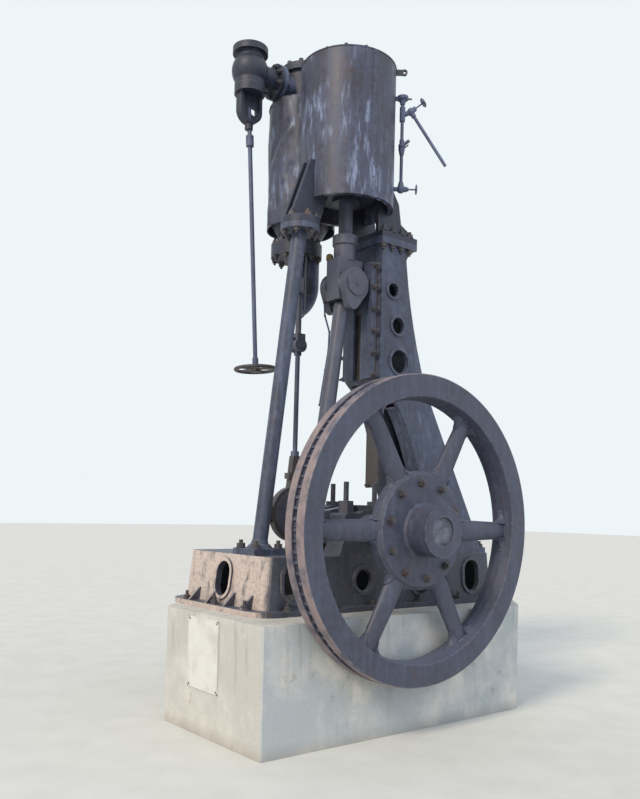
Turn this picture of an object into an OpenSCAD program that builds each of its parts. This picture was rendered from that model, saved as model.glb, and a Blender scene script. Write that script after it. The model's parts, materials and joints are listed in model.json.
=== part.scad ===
// Stationary steam engine of the inverted vertical kind on a concrete plinth.
// Millimetres. Origin: centre of the plinth's underside. +Z up, crankshaft along Y, flywheel towards -Y.

/* [Plinth] */
// Length of the concrete plinth, across the crankshaft
plinth_len = 2930; // [2800:10:3000]
// Width of the plinth, along the crankshaft
plinth_wid = 1626; // [1600:2:1660]
// Height of the plinth
plinth_high = 855; // [700:5:1000]
// Cut across three of the plinth's upright corners
plinth_cut = 380; // [300:10:400]
// Chamfer on the corner between the notice and the flywheel
plinth_chamfer = 10; // [4:1:30]
// Cylinder axis from the plinth's centre, across the shaft
engine_x = -250; // [-260:5:-240]
// Cylinder axis from the plinth's centre, along the shaft
engine_y = -80; // [-90:2:-70]
// Width of the notice plate
notice_wid = 400; // [300:10:450]
// Height of the notice plate
notice_high = 500; // [400:10:600]
// Thickness of the notice plate
notice_thick = 6; // [3:1:12]
// Gap from the plinth's top edge down to the notice plate
notice_drop = 30; // [20:5:100]
// Notice plate's centre from the plinth's centre, along the shaft
notice_y = -95; // [-130:5:-60]

/* [Bedplate] */
// Reach of the bed flange from the cylinder axis, front column side
bed_front = 1050; // [1040:5:1070]
// Reach of the bed flange from the cylinder axis, back column side
bed_back = 1573; // [1550:1:1600]
// Middle of the bed from the cylinder axis, along the shaft
bed_mid_y = 200; // [190:2:210]
// Half width of the bed flange along the shaft
bed_half = 650; // [640:5:665]
// Height of the bed from the plinth to its deck
bed_high = 407; // [380:1:450]
// Thickness of the bed flange
bed_flange_thick = 38; // [25:1:60]
// Step from the flange's edge in to the foot of the end walls
bed_step = 95; // [85:1:105]
// Step from the flange's edge in to the foot of the side walls
bed_side_step = 75; // [60:1:80]
// How far each end wall leans in from foot to deck
bed_lean = 55; // [30:1:60]
// How far each side wall leans in from foot to deck
bed_side_lean = 25; // [10:1:30]
// Wall and deck thickness of the bed casting
bed_wall = 30; // [20:1:45]
// Radius of the flange's corners
bed_corner = 190; // [150:5:220]
// Height of the obround openings in the bed walls
port_high = 258; // [200:2:270]
// Width of the obround openings in the bed walls
port_wid = 176; // [120:2:190]
// Diameter of the round opening under the crankshaft
crank_port_dia = 165; // [120:5:180]
// Width of the raised rim round each opening
port_rim = 24; // [12:1:30]
// How far each rim stands out of the wall
port_rim_out = 14; // [6:1:25]
// Height of the gussets between flange and end walls
gusset_high = 95; // [60:5:140]

/* [Crankshaft and flywheel] */
// Height of the shaft's centre line above the ground
shaft_z = 1469; // [1440:1:1500]
// Diameter of the crankshaft journals
shaft_dia = 205; // [180:1:230]
// Crank throw, half of the stroke
crank_throw = 276; // [240:1:290]
// Diameter of the crank pin
crank_pin_dia = 150; // [120:1:170]
// Thickness of each crank web
web_thick = 80; // [60:1:90]
// Length of the crank pin between the webs
crank_pin_len = 132; // [120:1:150]
// Length of each main bearing
bearing_len = 190; // [160:1:195]
// Outer diameter of the flywheel
wheel_dia = 2190; // [2050:5:2250]
// Face width of the flywheel rim
rim_wid = 196; // [160:1:220]
// Radial depth of the flywheel rim
rim_depth = 160; // [130:1:190]
// Width of the groove round the rim
rim_groove_wid = 52; // [30:1:70]
// Depth of the groove round the rim
rim_groove_deep = 26; // [15:1:40]
// Gap from the plinth's face to the flywheel
wheel_gap = 38; // [20:1:60]
// Number of spokes
spokes = 6; // [5:1:8]
// Spoke width at the hub
spoke_hub_wid = 165; // [130:1:190]
// Spoke width at the rim
spoke_rim_wid = 128; // [100:1:150]
// Spoke thickness at the hub
spoke_thick = 92; // [70:1:110]
// Diameter of the flywheel's hub disc
hub_disc_dia = 840; // [700:5:900]
// Thickness of the hub disc
hub_disc_thick = 120; // [90:1:150]
// Diameter of the hub boss
hub_boss_dia = 365; // [320:1:420]
// How far the boss stands out in front of the hub disc
hub_boss_out = 190; // [120:1:240]
// Bolts in the hub disc
hub_bolts = 10; // [6:1:14]

/* [Cylinder] */
// Outer diameter of the cylinder jacket
jacket_dia = 746; // [700:2:800]
// Height of the jacket's lower edge
jacket_base_z = 3970; // [3930:5:4000]
// Height of the jacket sheet
jacket_high = 1115; // [1000:5:1200]
// Thickness of the jacket sheet and its lagging
jacket_wall = 38; // [20:1:50]
// Height of the cylinder's bottom cover
cylinder_base_z = 4100; // [4060:5:4150]
// Centre of the valve chest from the cylinder axis
chest_offset = 590; // [560:5:620]
// Outer diameter of the chest jacket
chest_dia = 576; // [500:2:600]
// Height of the chest jacket's lower edge
chest_base_z = 3945; // [3930:5:3970]
// Height of the chest jacket's top
chest_top_z = 4975; // [4900:5:5040]
// Diameter of the chest's top bonnet
bonnet_dia = 350; // [300:2:400]
// Height of the bonnet's nuts above the chest jacket
bonnet_high = 350; // [330:2:380]
// Diameter of the flanges under the chest
chest_flange_dia = 430; // [400:2:450]
// Height of the underside of the chest's bottom cover
cover_base_z = 3720; // [3700:2:3740]

/* [Crank train] */
// Length of the connecting rod between its pins
rod_len = 1916; // [1800:1:2000]
// Diameter of the connecting rod's shank at the middle
rod_dia = 112; // [90:1:130]
// Diameter of the piston rod
piston_rod_dia = 110; // [90:1:120]
// Diameter of the crosshead pin
crosshead_pin_dia = 112; // [100:2:120]
// Half width of the crosshead block between the rod's two arms
crosshead_half = 78; // [70:1:82]
// Thickness of each arm of the forked rod
fork_thick = 65; // [50:1:70]
// Radius of the eyes of the forked rod
fork_eye_r = 125; // [105:1:130]
// Throw of the eccentric
eccentric_throw = 90; // [50:1:110]
// Diameter of the eccentric sheave
sheave_dia = 390; // [340:1:420]
// Thickness of the eccentric sheave and strap
sheave_thick = 72; // [50:1:90]
// Diameter of the eccentric rod
eccentric_rod_dia = 41; // [35:1:50]
// Diameter of the valve rod
valve_rod_dia = 50; // [40:1:54]
// Height of the knuckle between valve rod and eccentric rod
knuckle_z = 2985; // [2900:5:3050]

/* [Columns] */
// Diameter of the turned front column
column_dia = 112; // [90:1:140]
// Height of the front column's head
column_head_z = 3735; // [3700:5:3760]
// Front column's foot from the cylinder axis
column_foot_x = 752; // [700:2:780]
// Front column's head from the cylinder axis
column_head_x = 447; // [420:1:480]
// Height of the back column's top
column_top_z = 3762; // [3720:2:3800]
// Cylinder axis to the guide face of the back column
guide_x = 212; // [200:1:240]
// Width of the back column along the shaft at its top
column_wid = 420; // [380:2:460]
// Width of the back column along the shaft at its feet
column_feet_wid = 690; // [660:2:696]
// Wall thickness of the back column
column_wall = 32; // [22:1:45]
// Thickness of the joint flanges under the cylinder
head_flange_thick = 48; // [35:1:70]

/* [Steam and drain fittings] */
// Throttle valve's centre from the cylinder axis
throttle_x = 546; // [530:2:570]
// Height of the inlet pipe's centre above the chest jacket
inlet_rise = 140; // [130:2:150]
// Diameter of the throttle valve body
throttle_dia = 294; // [260:2:310]
// Height of the throttle's handwheel
handwheel_z = 2720; // [2600:10:2900]
// Diameter of the throttle's handwheel
handwheel_dia = 350; // [280:5:400]
// Diameter of the throttle's long spindle
spindle_dia = 35; // [24:1:40]
// Diameter of the exhaust pipe
exhaust_dia = 190; // [150:2:190]
// Diameter of the indicator pipe
indicator_dia = 26; // [18:1:34]
// Running gap between a turning part and its seat
run_gap = 0.05; // [0.02:0.01:0.1]

/* [Hidden] */
$fn = 64;
seat = 0.3;
deck_z = plinth_high + bed_high;
corner_steps = 8;
bed_y0 = bed_mid_y - bed_half;
bed_y1 = bed_mid_y + bed_half;
// The bed's walls halfway up, where their openings are
port_z = plinth_high + bed_flange_thick + (bed_high - bed_flange_thick) / 2;
near_wall_y = bed_y0 + bed_side_step + bed_side_lean / 2;
far_wall_y = bed_y1 - bed_side_step - bed_side_lean / 2;
front_wall_x = -bed_front + bed_step + bed_lean / 2;
back_wall_x = bed_back - bed_step - bed_lean / 2;
side_tilt = atan2(bed_side_lean, bed_high);
end_tilt = atan2(bed_lean, bed_high);
side_ports = [-708, 560, 1162];
crank_port_x = -50;
gusset_spots = [-200, 28, 272, 514];
gusset_thick = 22;
wheel_front_y = -(plinth_wid / 2 + engine_y + wheel_gap + rim_wid);
wheel_mid_y = wheel_front_y + rim_wid / 2;
wheel_r = wheel_dia / 2;
rim_inner_r = wheel_r - rim_depth;
disc_front_y = wheel_mid_y - hub_disc_thick / 2;
boss_front_y = disc_front_y - hub_boss_out;
bolt_ring_r = hub_disc_dia / 2 - 84;
shaft_r = shaft_dia / 2;
bearing_in = crank_pin_len / 2 + web_thick + 12;
bearing_out = bearing_in + bearing_len;
bearing_block_half = 225;
// Bearing cap: height of its shoulders, radius of its crown, spacing of its studs
shoulder_high = 111;
crown_r = shaft_r + 36;
stud_x = 145;
stud_dia = 40;
stud_high = 350;
stud_nut_dia = 120;
stud_nut_high = 47;
web_shaft_r = 165;
web_pin_r = 118;
crank_angle = 180;
crank_x = crank_throw * cos(crank_angle);
pin_rise = sqrt(rod_len * rod_len - crank_throw * crank_throw);
pin_z = shaft_z + pin_rise;
rod_tilt = atan2(-crank_x, pin_rise);
pit_half_x = crank_throw + web_shaft_r;
pit_half_y = bearing_in - 6;
eccentric_angle = 96;
ecc_x = eccentric_throw * cos(eccentric_angle);
ecc_z = shaft_z + eccentric_throw * sin(eccentric_angle);
ecc_tilt = atan2(ecc_x, knuckle_z - ecc_z);
strap_dia = sheave_dia + 76;
// Strap: height of its bolted joint and of the palm for the rod above the sheave's centre
strap_joint_z = strap_dia / 2 + 62;
palm_z = strap_dia / 2 + 257;
shaft_end_y = chest_offset + sheave_thick / 2 + 24;
knuckle_dia = 120;
knuckle_pin_dia = 48;
knuckle_half = 21;
knuckle_cheek = 25;
// Connecting rod: big end and fork
big_end_half = 175;
big_end_side = 56;
foot_base = 92;
foot_thick = 64;
fork_in = crosshead_half + 7;
fork_out = fork_in + fork_thick;
fork_low_r = 48;
fork_drop = 156;
fork_web_dia = 60;
neck_dia = 124;
neck_drop = 420;
// Crosshead, about its pin
block_half_x = 118;
block_low = 120;
block_top = 205;
socket_dia = 176;
socket_high = 125;
collar_dia = 200;
collar_high = 70;
slipper_low = 190;
slipper_top = 210;
slipper_half = 140;
slipper_thick = 18;
slipper_stem_half = 38;
disc_over = 68;
disc_thick = 10;
// Guide: plate on the back column and the two keepers that hold the slipper
guide_base_z = 2650;
guide_high = 910;
guide_thick = 22;
guide_half = 170;
plate_x = guide_x - guide_thick - seat;
slipper_x = plate_x - seat;
keeper_gap_half = 45;
keeper_wall = 29;
keeper_x = slipper_x - slipper_thick - seat - 23;
// Back column in side view, and its holes: across the shaft, height, diameter
foot_top_z = deck_z + 40;
column_x_top = guide_x + 250;
foot_in_x = 870;
foot_out_x = 1310;
pad_in_x = foot_in_x - 30;
pad_out_x = 1366;
pad_wid = 190;
leg_wid = 150;
leg_arch_z = 2480;
column_holes = [[332, 3361, 108], [394, 3086, 130], [417, 2801, 186]];
hole_rim = 18;
head_x0 = guide_x - 28;
head_x1 = column_x_top + 103;
head_half = column_wid / 2 + 26;
column_tilt = atan2(column_foot_x - column_head_x, column_head_z - deck_z - 70);
column_foot_half = 140;
column_head_r = 148;
jacket_top_z = jacket_base_z + jacket_high;
casting_r = jacket_dia / 2 - jacket_wall - seat;
side_angle = -38.7;
cover_nuts = 12;
rib_thick = 32;
rib_gap = 3;
front_rib_y = 42;
back_rib_y = 150;
bonnet_top_z = chest_top_z + bonnet_high;
bonnet_nuts = 10;
throttle_z = chest_top_z + inlet_rise;
chest_neck_dia = 336;
chest_neck_x = -20;
chest_neck_y = chest_offset + 25;
chest_joint_z = cover_base_z + 54;
chest_flange_top_z = chest_joint_z + 56;
gland_dia = 94;
gland_high = 40;
exhaust_x = 135;
exhaust_y = chest_offset + 60;
exhaust_low_z = 3280;
exhaust_bend_r = 150;
blank_dia = exhaust_dia + 24;
blank_thick = 34;
// Hanger of the valve rod's guide, from the cylinder axis
hanger_x = 14;
hanger_y = chest_offset - 80;
hanger_base_z = 3400;
hanger_wid = 86;
hanger_high = 160;
hanger_thick = 50;
guide_boss_dia = 94;
drain_x = -52;
drain_y = chest_offset - 160;
drain_low_z = 3250;
chest_drain_dia = 16;
inlet_dia = 180;
inlet_flange_dia = 280;
inlet_flange_thick = 30;
inlet_joint_x = chest_dia / 2;
// Throttle: heights from its centre, and its yoke
throttle_neck_dia = 220;
throttle_top_dia = throttle_dia - 10;
throttle_top_rise = 134;
throttle_top_thick = 50;
throttle_collar_dia = 246;
throttle_joint_drop = 127;
collar_thick = 60;
yoke_half = 101;
yoke_bar = 26;
yoke_side = 38;
yoke_web_half = 10;
yoke_eye_dia = 56;
yoke_eye_x = 38;
yoke_bottom_z = throttle_z - 421;
yoke_eye_z = yoke_bottom_z + 104;
yoke_tip = 46;
yoke_tip_dia = 66;
// The spindle leans a little from the yoke down to the handwheel
wheel_shift_x = 78;
wheel_shift_y = -62;
spindle_top_z = yoke_bottom_z + 86;
spindle_fall = spindle_top_z - handwheel_z;
spindle_lean = atan2(norm([wheel_shift_x, wheel_shift_y]), spindle_fall);
spindle_turn = atan2(wheel_shift_y, wheel_shift_x);
spindle_len = spindle_fall / cos(spindle_lean);
rig_r = 430;
rig_top_z = 4866;
rig_base_z = 4150;
rig_branch_z = 4734;
rig_branch_x = 67;
rig_cock_z = 4492;
rig_stem_rise = 38;
rig_tube_lean = 33.7;
rig_gland = 60;
stem_dia = 12;
small_wheel_dia = 76;
small_wheel_out = 70;
// Oil pipe down the connecting rod: points from the cylinder axis
oil_pipe_dia = 14;
oil_pipe_points = [[-102, 118, 3248], [-98, 112, 3141], [-65, 92, 3014], [-84, 76, 2866], [-112, 76, 2704],
                   [-165, 70, 2422]];
oil_cup_spot = [-100, 66];
oil_cup_dia = 56;

// Everything above the plinth is drawn about the cylinder axis
module engine() {
    translate([engine_x, engine_y, 0]) children();
}

// A rod along Y between two values of y
module along_y(dia, y0, y1) {
    translate([0, y1, 0]) rotate([90, 0, 0]) cylinder(d = dia, h = y1 - y0);
}

// Flat outline in X and Z, drawn out along Y between two values of y
module slab_y(y0, y1) {
    translate([0, y1, 0]) rotate([90, 0, 0]) linear_extrude(y1 - y0) children();
}

// Flat outline in Y and Z, drawn out along X between two values of x
module slab_x(x0, x1) {
    translate([x0, 0, 0]) rotate([90, 0, 90]) linear_extrude(x1 - x0) children();
}

// Obround outline, upright, centred
module obround(wid, high) {
    straight = high - wid;
    square([wid, straight], center = true);
    for (end = [-1, 1]) translate([0, end * straight / 2]) circle(d = wid);
}

// Outline of a link between two round ends, first end at the origin, second at a distance along X
module link_outline(r1, r2, dist) {
    lean = asin((r1 - r2) / dist);
    circle(r = r1);
    translate([dist, 0]) circle(r = r2);
    polygon([[r1 * sin(lean), r1 * cos(lean)], [dist + r2 * sin(lean), r2 * cos(lean)],
             [dist + r2 * sin(lean), -r2 * cos(lean)], [r1 * sin(lean), -r1 * cos(lean)]]);
}

// Corners of a rounded rectangle, as points
function rounded_points(x0, x1, y0, y1, r) =
    [for (c = [[x1 - r, y1 - r, 0], [x0 + r, y1 - r, 90], [x0 + r, y0 + r, 180], [x1 - r, y0 + r, 270]])
        for (i = [0 : corner_steps])
            let (turn = c[2] + i * 90 / corner_steps) [c[0] + r * cos(turn), c[1] + r * sin(turn)]];

// A straight pipe between two points
module pipe_between(from, to, dia) {
    run = to - from;
    translate(from) rotate([0, acos(run[2] / norm(run)), atan2(run[1], run[0])])
        cylinder(d = dia, h = norm(run));
}

module plinth() {
    x = plinth_len / 2;
    y = plinth_wid / 2;
    sharp = plinth_chamfer;
    color("#c6c5be") linear_extrude(plinth_high)
        polygon([[-x + sharp, -y], [x - plinth_cut, -y], [x, -y + plinth_cut], [x, y - plinth_cut],
                 [x - plinth_cut, y], [-x + plinth_cut, y], [-x, y - plinth_cut], [-x, -y + sharp]]);
}

module notice_plate() {
    color("#eceae4")
        translate([-plinth_len / 2 - notice_thick - seat, notice_y - notice_wid / 2,
                   plinth_high - notice_drop - notice_high])
            cube([notice_thick, notice_wid, notice_high]);
}

// Thin rounded plate of the bed, in from the flange's edges
module bed_slice(in_x, in_y, z) {
    translate([0, 0, z]) linear_extrude(1)
        polygon(rounded_points(-bed_front + in_x, bed_back - in_x, bed_y0 + in_y, bed_y1 - in_y,
                               bed_corner - (in_x + in_y) / 2));
}

// Leaning-walled block of the bed, shrunk by a margin on every side
module bed_block(margin, z0, z1) {
    hull() {
        bed_slice(bed_step + margin, bed_side_step + margin, z0);
        bed_slice(bed_step + bed_lean + margin, bed_side_step + bed_side_lean + margin, z1 - 1);
    }
}

// Stands the children on a leaning wall: +X along it, +Y up it, +Z outwards
module on_wall(x, y, turn, tilt) {
    translate([x, y, port_z]) rotate([90 - tilt, 0, turn]) children();
}

// Openings of all four walls, grown by a rim, from a depth inside to a height outside the wall
module bed_ports(rim, deep, out) {
    for (side = [0, 1]) {
        y = side == 0 ? near_wall_y : far_wall_y;
        for (x = side_ports) on_wall(x, y, side * 180, side_tilt)
            translate([0, 0, -deep]) linear_extrude(deep + out)
                obround(port_wid + 2 * rim, port_high + 2 * rim);
        on_wall(crank_port_x, y, side * 180, side_tilt)
            translate([0, 0, -deep]) cylinder(d = crank_port_dia + 2 * rim, h = deep + out);
    }
    for (side = [-1, 1]) on_wall(side < 0 ? front_wall_x : back_wall_x, bed_mid_y, side * 90, end_tilt)
        translate([0, 0, -deep]) linear_extrude(deep + out) obround(port_wid + 2 * rim, port_high + 2 * rim);
}

// Cast seat for one main bearing, up to the shaft's centre line
module bearing_seat(side) {
    y0 = side < 0 ? -bearing_out : bearing_in;
    half = bearing_block_half;
    slab_y(y0, y0 + bearing_len)
        polygon([[-half - 60, deck_z - bed_wall / 2], [half + 60, deck_z - bed_wall / 2], [half, shaft_z - 60],
                 [half, shaft_z - 2], [-half, shaft_z - 2], [-half, shaft_z - 60]]);
}

// One gusset between the flange and the end wall at negative X
module end_gusset() {
    foot = bed_step + 40;
    slab_y(-gusset_thick / 2, gusset_thick / 2) translate([-bed_front, plinth_high + bed_flange_thick])
        polygon([[8, -1], [foot, -1], [foot, gusset_high], [bed_step + 8, gusset_high]]);
}

module bedplate() {
    eccentric_pit_x = eccentric_throw + strap_dia / 2 + 45;
    cut_high = bed_wall + 2;
    color("#43454d") engine() difference() {
        union() {
            translate([0, 0, plinth_high]) linear_extrude(bed_flange_thick)
                polygon(rounded_points(-bed_front, bed_back, bed_y0, bed_y1, bed_corner));
            bed_block(0, plinth_high, deck_z);
            bed_ports(port_rim, bed_wall, port_rim_out);
            for (side = [-1, 1]) bearing_seat(side);
            for (y = gusset_spots) {
                translate([0, y, 0]) end_gusset();
                translate([bed_back - bed_front, y, 0]) mirror([1, 0, 0]) end_gusset();
            }
        }
        bed_block(bed_wall, plinth_high - 1, deck_z - bed_wall);
        bed_ports(0, bed_wall * 3, bed_wall * 2);
        translate([-pit_half_x, -pit_half_y, deck_z - bed_wall - 1])
            cube([2 * pit_half_x, 2 * pit_half_y, cut_high]);
        translate([-eccentric_pit_x, chest_offset - sheave_thick, deck_z - bed_wall - 1])
            cube([2 * eccentric_pit_x, 2 * sheave_thick, cut_high]);
        translate([0, 0, shaft_z]) along_y(shaft_dia + 2 * run_gap, -bearing_out - 1, bearing_out + 1);
    }
}

// Bearing cap with its crown, oil box and two tall studs
module bearing_cap(side) {
    y0 = (side < 0 ? -bearing_out : bearing_in) + 4;
    y1 = y0 + bearing_len - 8;
    half = bearing_block_half;
    translate([0, 0, shaft_z]) {
        difference() {
            union() {
                slab_y(y0, y1)
                    polygon([[-half, seat], [half, seat], [half, shoulder_high - 16],
                             [half - 16, shoulder_high], [-half + 16, shoulder_high],
                             [-half, shoulder_high - 16]]);
                intersection() {
                    along_y(2 * crown_r, y0, y1);
                    translate([-crown_r, y0, seat]) cube([2 * crown_r, y1 - y0, crown_r]);
                }
                translate([-52, y0 + 24, shoulder_high]) cube([104, y1 - y0 - 48, 62]);
            }
            along_y(shaft_dia + 2 * run_gap, y0 - 1, y1 + 1);
        }
        for (x = [-1, 1]) translate([x * stud_x, (y0 + y1) / 2, shoulder_high - 2]) {
            cylinder(d = stud_nut_dia, h = 2 * stud_nut_high, $fn = 6);
            cylinder(d = stud_dia, h = stud_high - shoulder_high);
        }
    }
}

module front_bearing_cap() {
    color("#4a4b52") engine() bearing_cap(-1);
}

module rear_bearing_cap() {
    color("#4a4b52") engine() bearing_cap(1);
}

module crankshaft() {
    pin_end = crank_pin_len / 2;
    color("#55565c") engine() translate([0, 0, shaft_z]) union() {
        along_y(shaft_dia, boss_front_y + 18, -pin_end - 1);
        along_y(shaft_dia, pin_end + 1, shaft_end_y);
        translate([crank_x, 0, 0]) along_y(crank_pin_dia, -pin_end - 1, pin_end + 1);
        for (y = [-pin_end - web_thick, pin_end])
            slab_y(y, y + web_thick) rotate(crank_angle) link_outline(web_shaft_r, web_pin_r, crank_throw);
    }
}

// Oval spoke from hub to rim, along +X
module spoke() {
    hull() {
        translate([hub_disc_dia / 2 - 60, 0, 0]) scale([1, spoke_thick / spoke_hub_wid, 1])
            rotate([0, 90, 0]) cylinder(d = spoke_hub_wid, h = 1, $fn = 28);
        translate([rim_inner_r + 4, 0, 0]) scale([1, spoke_thick / spoke_hub_wid, 1])
            rotate([0, 90, 0]) cylinder(d = spoke_rim_wid, h = 1, $fn = 28);
    }
}

module flywheel() {
    half = rim_wid / 2;
    groove = rim_groove_wid / 2;
    groove_r = wheel_r - rim_groove_deep;
    disc_half = hub_disc_thick / 2;
    disc_r = hub_disc_dia / 2;
    boss_r = hub_boss_dia / 2;
    color("#4b4d55") engine() translate([0, wheel_mid_y, shaft_z]) difference() {
        union() {
            rotate([90, 0, 0]) rotate_extrude($fn = 180)
                polygon([[rim_inner_r, -half + 6], [rim_inner_r + 6, -half], [wheel_r - 6, -half],
                         [wheel_r, -half + 6], [wheel_r, -groove], [groove_r, -groove], [groove_r, groove],
                         [wheel_r, groove], [wheel_r, half - 6], [wheel_r - 6, half],
                         [rim_inner_r + 6, half], [rim_inner_r, half - 6], [rim_inner_r - 16, 30],
                         [rim_inner_r - 16, -30]]);
            rotate([90, 0, 0]) rotate_extrude($fn = 120)
                polygon([[shaft_r - 5, -disc_half - 55], [boss_r, -disc_half - 55], [boss_r, -disc_half],
                         [disc_r - 26, -disc_half], [disc_r, -disc_half + 26], [disc_r, disc_half - 26],
                         [disc_r - 26, disc_half], [boss_r + 14, disc_half], [boss_r, disc_half + 14],
                         [boss_r, disc_half + hub_boss_out], [shaft_r - 5, disc_half + hub_boss_out]]);
            for (i = [0 : spokes - 1]) rotate([0, i * 360 / spokes, 0]) spoke();
        }
        along_y(shaft_dia, -half - hub_boss_out - 100, half + 200);
    }
}

module hub_bolts() {
    color("#5a5552") engine() for (i = [0 : hub_bolts - 1])
        translate([0, disc_front_y - seat, shaft_z]) rotate([0, i * 360 / hub_bolts + 12, 0])
            translate([bolt_ring_r, 0, 0]) rotate([90, 0, 0]) {
                cylinder(d = 58, h = 28, $fn = 6);
                cylinder(d = 32, h = 44);
            }
}

module eccentric_sheave() {
    color("#5b5c60") engine() difference() {
        translate([ecc_x, 0, ecc_z])
            along_y(sheave_dia, chest_offset - sheave_thick / 2, chest_offset + sheave_thick / 2);
        translate([0, 0, shaft_z]) along_y(shaft_dia, chest_offset - sheave_thick, chest_offset + sheave_thick);
    }
}

module eccentric_strap() {
    lug_x = strap_dia / 2 + 16;
    color("#4d4c4e") engine() translate([ecc_x, 0, ecc_z]) rotate([0, -ecc_tilt, 0])
        slab_y(chest_offset - sheave_thick / 2 + 6, chest_offset + sheave_thick / 2 - 6) difference() {
            union() {
                circle(d = strap_dia);
                for (side = [-1, 1]) translate([side * lug_x, 0]) square([72, 84], center = true);
                polygon([[-66, strap_dia / 2 - 20], [66, strap_dia / 2 - 20], [56, strap_joint_z],
                         [-56, strap_joint_z]]);
                translate([-80, strap_joint_z]) square([160, 50]);
                polygon([[-50, strap_joint_z + 49], [50, strap_joint_z + 49], [34, palm_z], [-34, palm_z]]);
            }
            circle(d = sheave_dia + 2 * run_gap);
        }
}

module eccentric_rod() {
    rod = (knuckle_z - ecc_z) / cos(ecc_tilt);
    color("#44454b") engine() translate([ecc_x, chest_offset, ecc_z]) rotate([0, -ecc_tilt, 0]) {
        translate([0, 0, palm_z + seat]) cylinder(d = eccentric_rod_dia, h = rod - palm_z - seat - 40);
        translate([0, 0, palm_z + seat]) cylinder(d = eccentric_rod_dia + 30, h = 40);
        translate([0, 0, rod]) difference() {
            union() {
                along_y(knuckle_dia - 10, -knuckle_half, knuckle_half);
                translate([-24, -knuckle_half, -knuckle_dia + 36]) cube([48, 2 * knuckle_half, 60]);
            }
            along_y(knuckle_pin_dia, -knuckle_half - 1, knuckle_half + 1);
        }
    }
}

module valve_rod() {
    cheek_in = knuckle_half + 1;
    cheek_out = cheek_in + knuckle_cheek;
    bridge = knuckle_dia / 2 + 4;
    rod_high = chest_base_z - knuckle_z - bridge;
    color("#5a5a5d") engine() translate([0, chest_offset, knuckle_z]) {
        translate([0, 0, bridge]) cylinder(d = valve_rod_dia, h = rod_high);
        for (y = [-cheek_out, cheek_in]) difference() {
            union() {
                along_y(knuckle_dia, y, y + knuckle_cheek);
                translate([-42, y, 0]) cube([84, knuckle_cheek, bridge + 10]);
            }
            along_y(knuckle_pin_dia - seat, y - 1, y + knuckle_cheek + 1);
        }
        translate([-42, -cheek_out, bridge]) cube([84, 2 * cheek_out, 34]);
        along_y(knuckle_pin_dia - seat, -cheek_out - 8, cheek_out + 8);
    }
}

// Hanger under the chest, with an arm round the valve rod
module valve_rod_guide() {
    boss_z = hanger_base_z + hanger_high / 2 - 50;
    boss_high = 100;
    arm = norm([hanger_x, hanger_y - chest_offset]);
    color("#45464c") engine() difference() {
        union() {
            translate([hanger_x, hanger_y, hanger_base_z + hanger_high / 2])
                slab_y(-hanger_thick / 2, hanger_thick / 2) obround(hanger_wid, hanger_high);
            translate([hanger_x, hanger_y, hanger_base_z + hanger_high - 10])
                cylinder(d = 44, h = cover_base_z - seat - hanger_base_z - hanger_high + 10);
            translate([0, chest_offset, boss_z]) cylinder(d = guide_boss_dia, h = boss_high);
            translate([0, chest_offset, boss_z]) rotate(atan2(hanger_y - chest_offset, hanger_x))
                translate([0, -20, 20]) cube([arm, 40, boss_high - 40]);
        }
        translate([0, chest_offset, boss_z - 1]) cylinder(d = valve_rod_dia + 2 * run_gap, h = boss_high + 2);
    }
}

module connecting_rod() {
    pin_bore = crosshead_pin_dia;
    shank_base = foot_base + foot_thick - 6;
    color("#4f5057") engine() translate([crank_x, 0, shaft_z]) rotate([0, rod_tilt, 0]) difference() {
        union() {
            translate([-big_end_half, -big_end_side, foot_base])
                cube([2 * big_end_half, 2 * big_end_side, foot_thick]);
            translate([0, 0, shank_base])
                cylinder(d1 = rod_dia + 22, d2 = rod_dia, h = rod_len - neck_drop - shank_base);
            translate([0, 0, rod_len - neck_drop])
                cylinder(d1 = rod_dia, d2 = neck_dia, h = neck_drop - fork_drop + 12);
            translate([0, 0, rod_len - fork_drop]) along_y(fork_web_dia, -fork_in - 5, fork_in + 5);
            for (y = [-fork_out, fork_in]) translate([0, 0, rod_len])
                slab_y(y, y + fork_thick) rotate(-90) link_outline(fork_eye_r, fork_low_r, fork_drop);
        }
        translate([0, 0, rod_len]) along_y(pin_bore, -fork_out - 1, fork_out + 1);
    }
}

module big_end_brasses() {
    low = 90;
    color("#6b5f4a") engine() translate([crank_x, 0, shaft_z]) rotate([0, rod_tilt, 0]) difference() {
        union() {
            translate([-big_end_half, -big_end_side, -low])
                cube([2 * big_end_half, 2 * big_end_side, low + foot_base - seat]);
            for (side = [-1, 1]) translate([side * (big_end_half - 36), 0, -low - 42]) cylinder(d = 46, h = 50);
        }
        along_y(crank_pin_dia + 2 * run_gap, -big_end_side - 1, big_end_side + 1);
    }
}

// Crosshead: block between the rod's arms, socket for the piston rod and slipper in the guide
module crosshead() {
    block_wid = 2 * crosshead_half;
    color("#5c5d64") engine() translate([0, 0, pin_z]) difference() {
        union() {
            translate([-block_half_x, -crosshead_half, -block_low])
                cube([2 * block_half_x, block_wid, block_low + block_top]);
            translate([0, 0, block_top - 5]) cylinder(d = socket_dia, h = socket_high);
            translate([0, 0, block_top + socket_high - 6]) cylinder(d = collar_dia, h = collar_high);
            translate([block_half_x - 28, -slipper_stem_half, -block_low])
                cube([slipper_x - block_half_x + 20, 2 * slipper_stem_half, block_low + block_top]);
            translate([slipper_x - slipper_thick, -slipper_half, -slipper_low])
                cube([slipper_thick, 2 * slipper_half, slipper_low + slipper_top]);
        }
        along_y(crosshead_pin_dia, -crosshead_half - 1, crosshead_half + 1);
        translate([0, 0, block_top - 15]) cylinder(d = piston_rod_dia, h = socket_high + collar_high + 20);
    }
}

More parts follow.
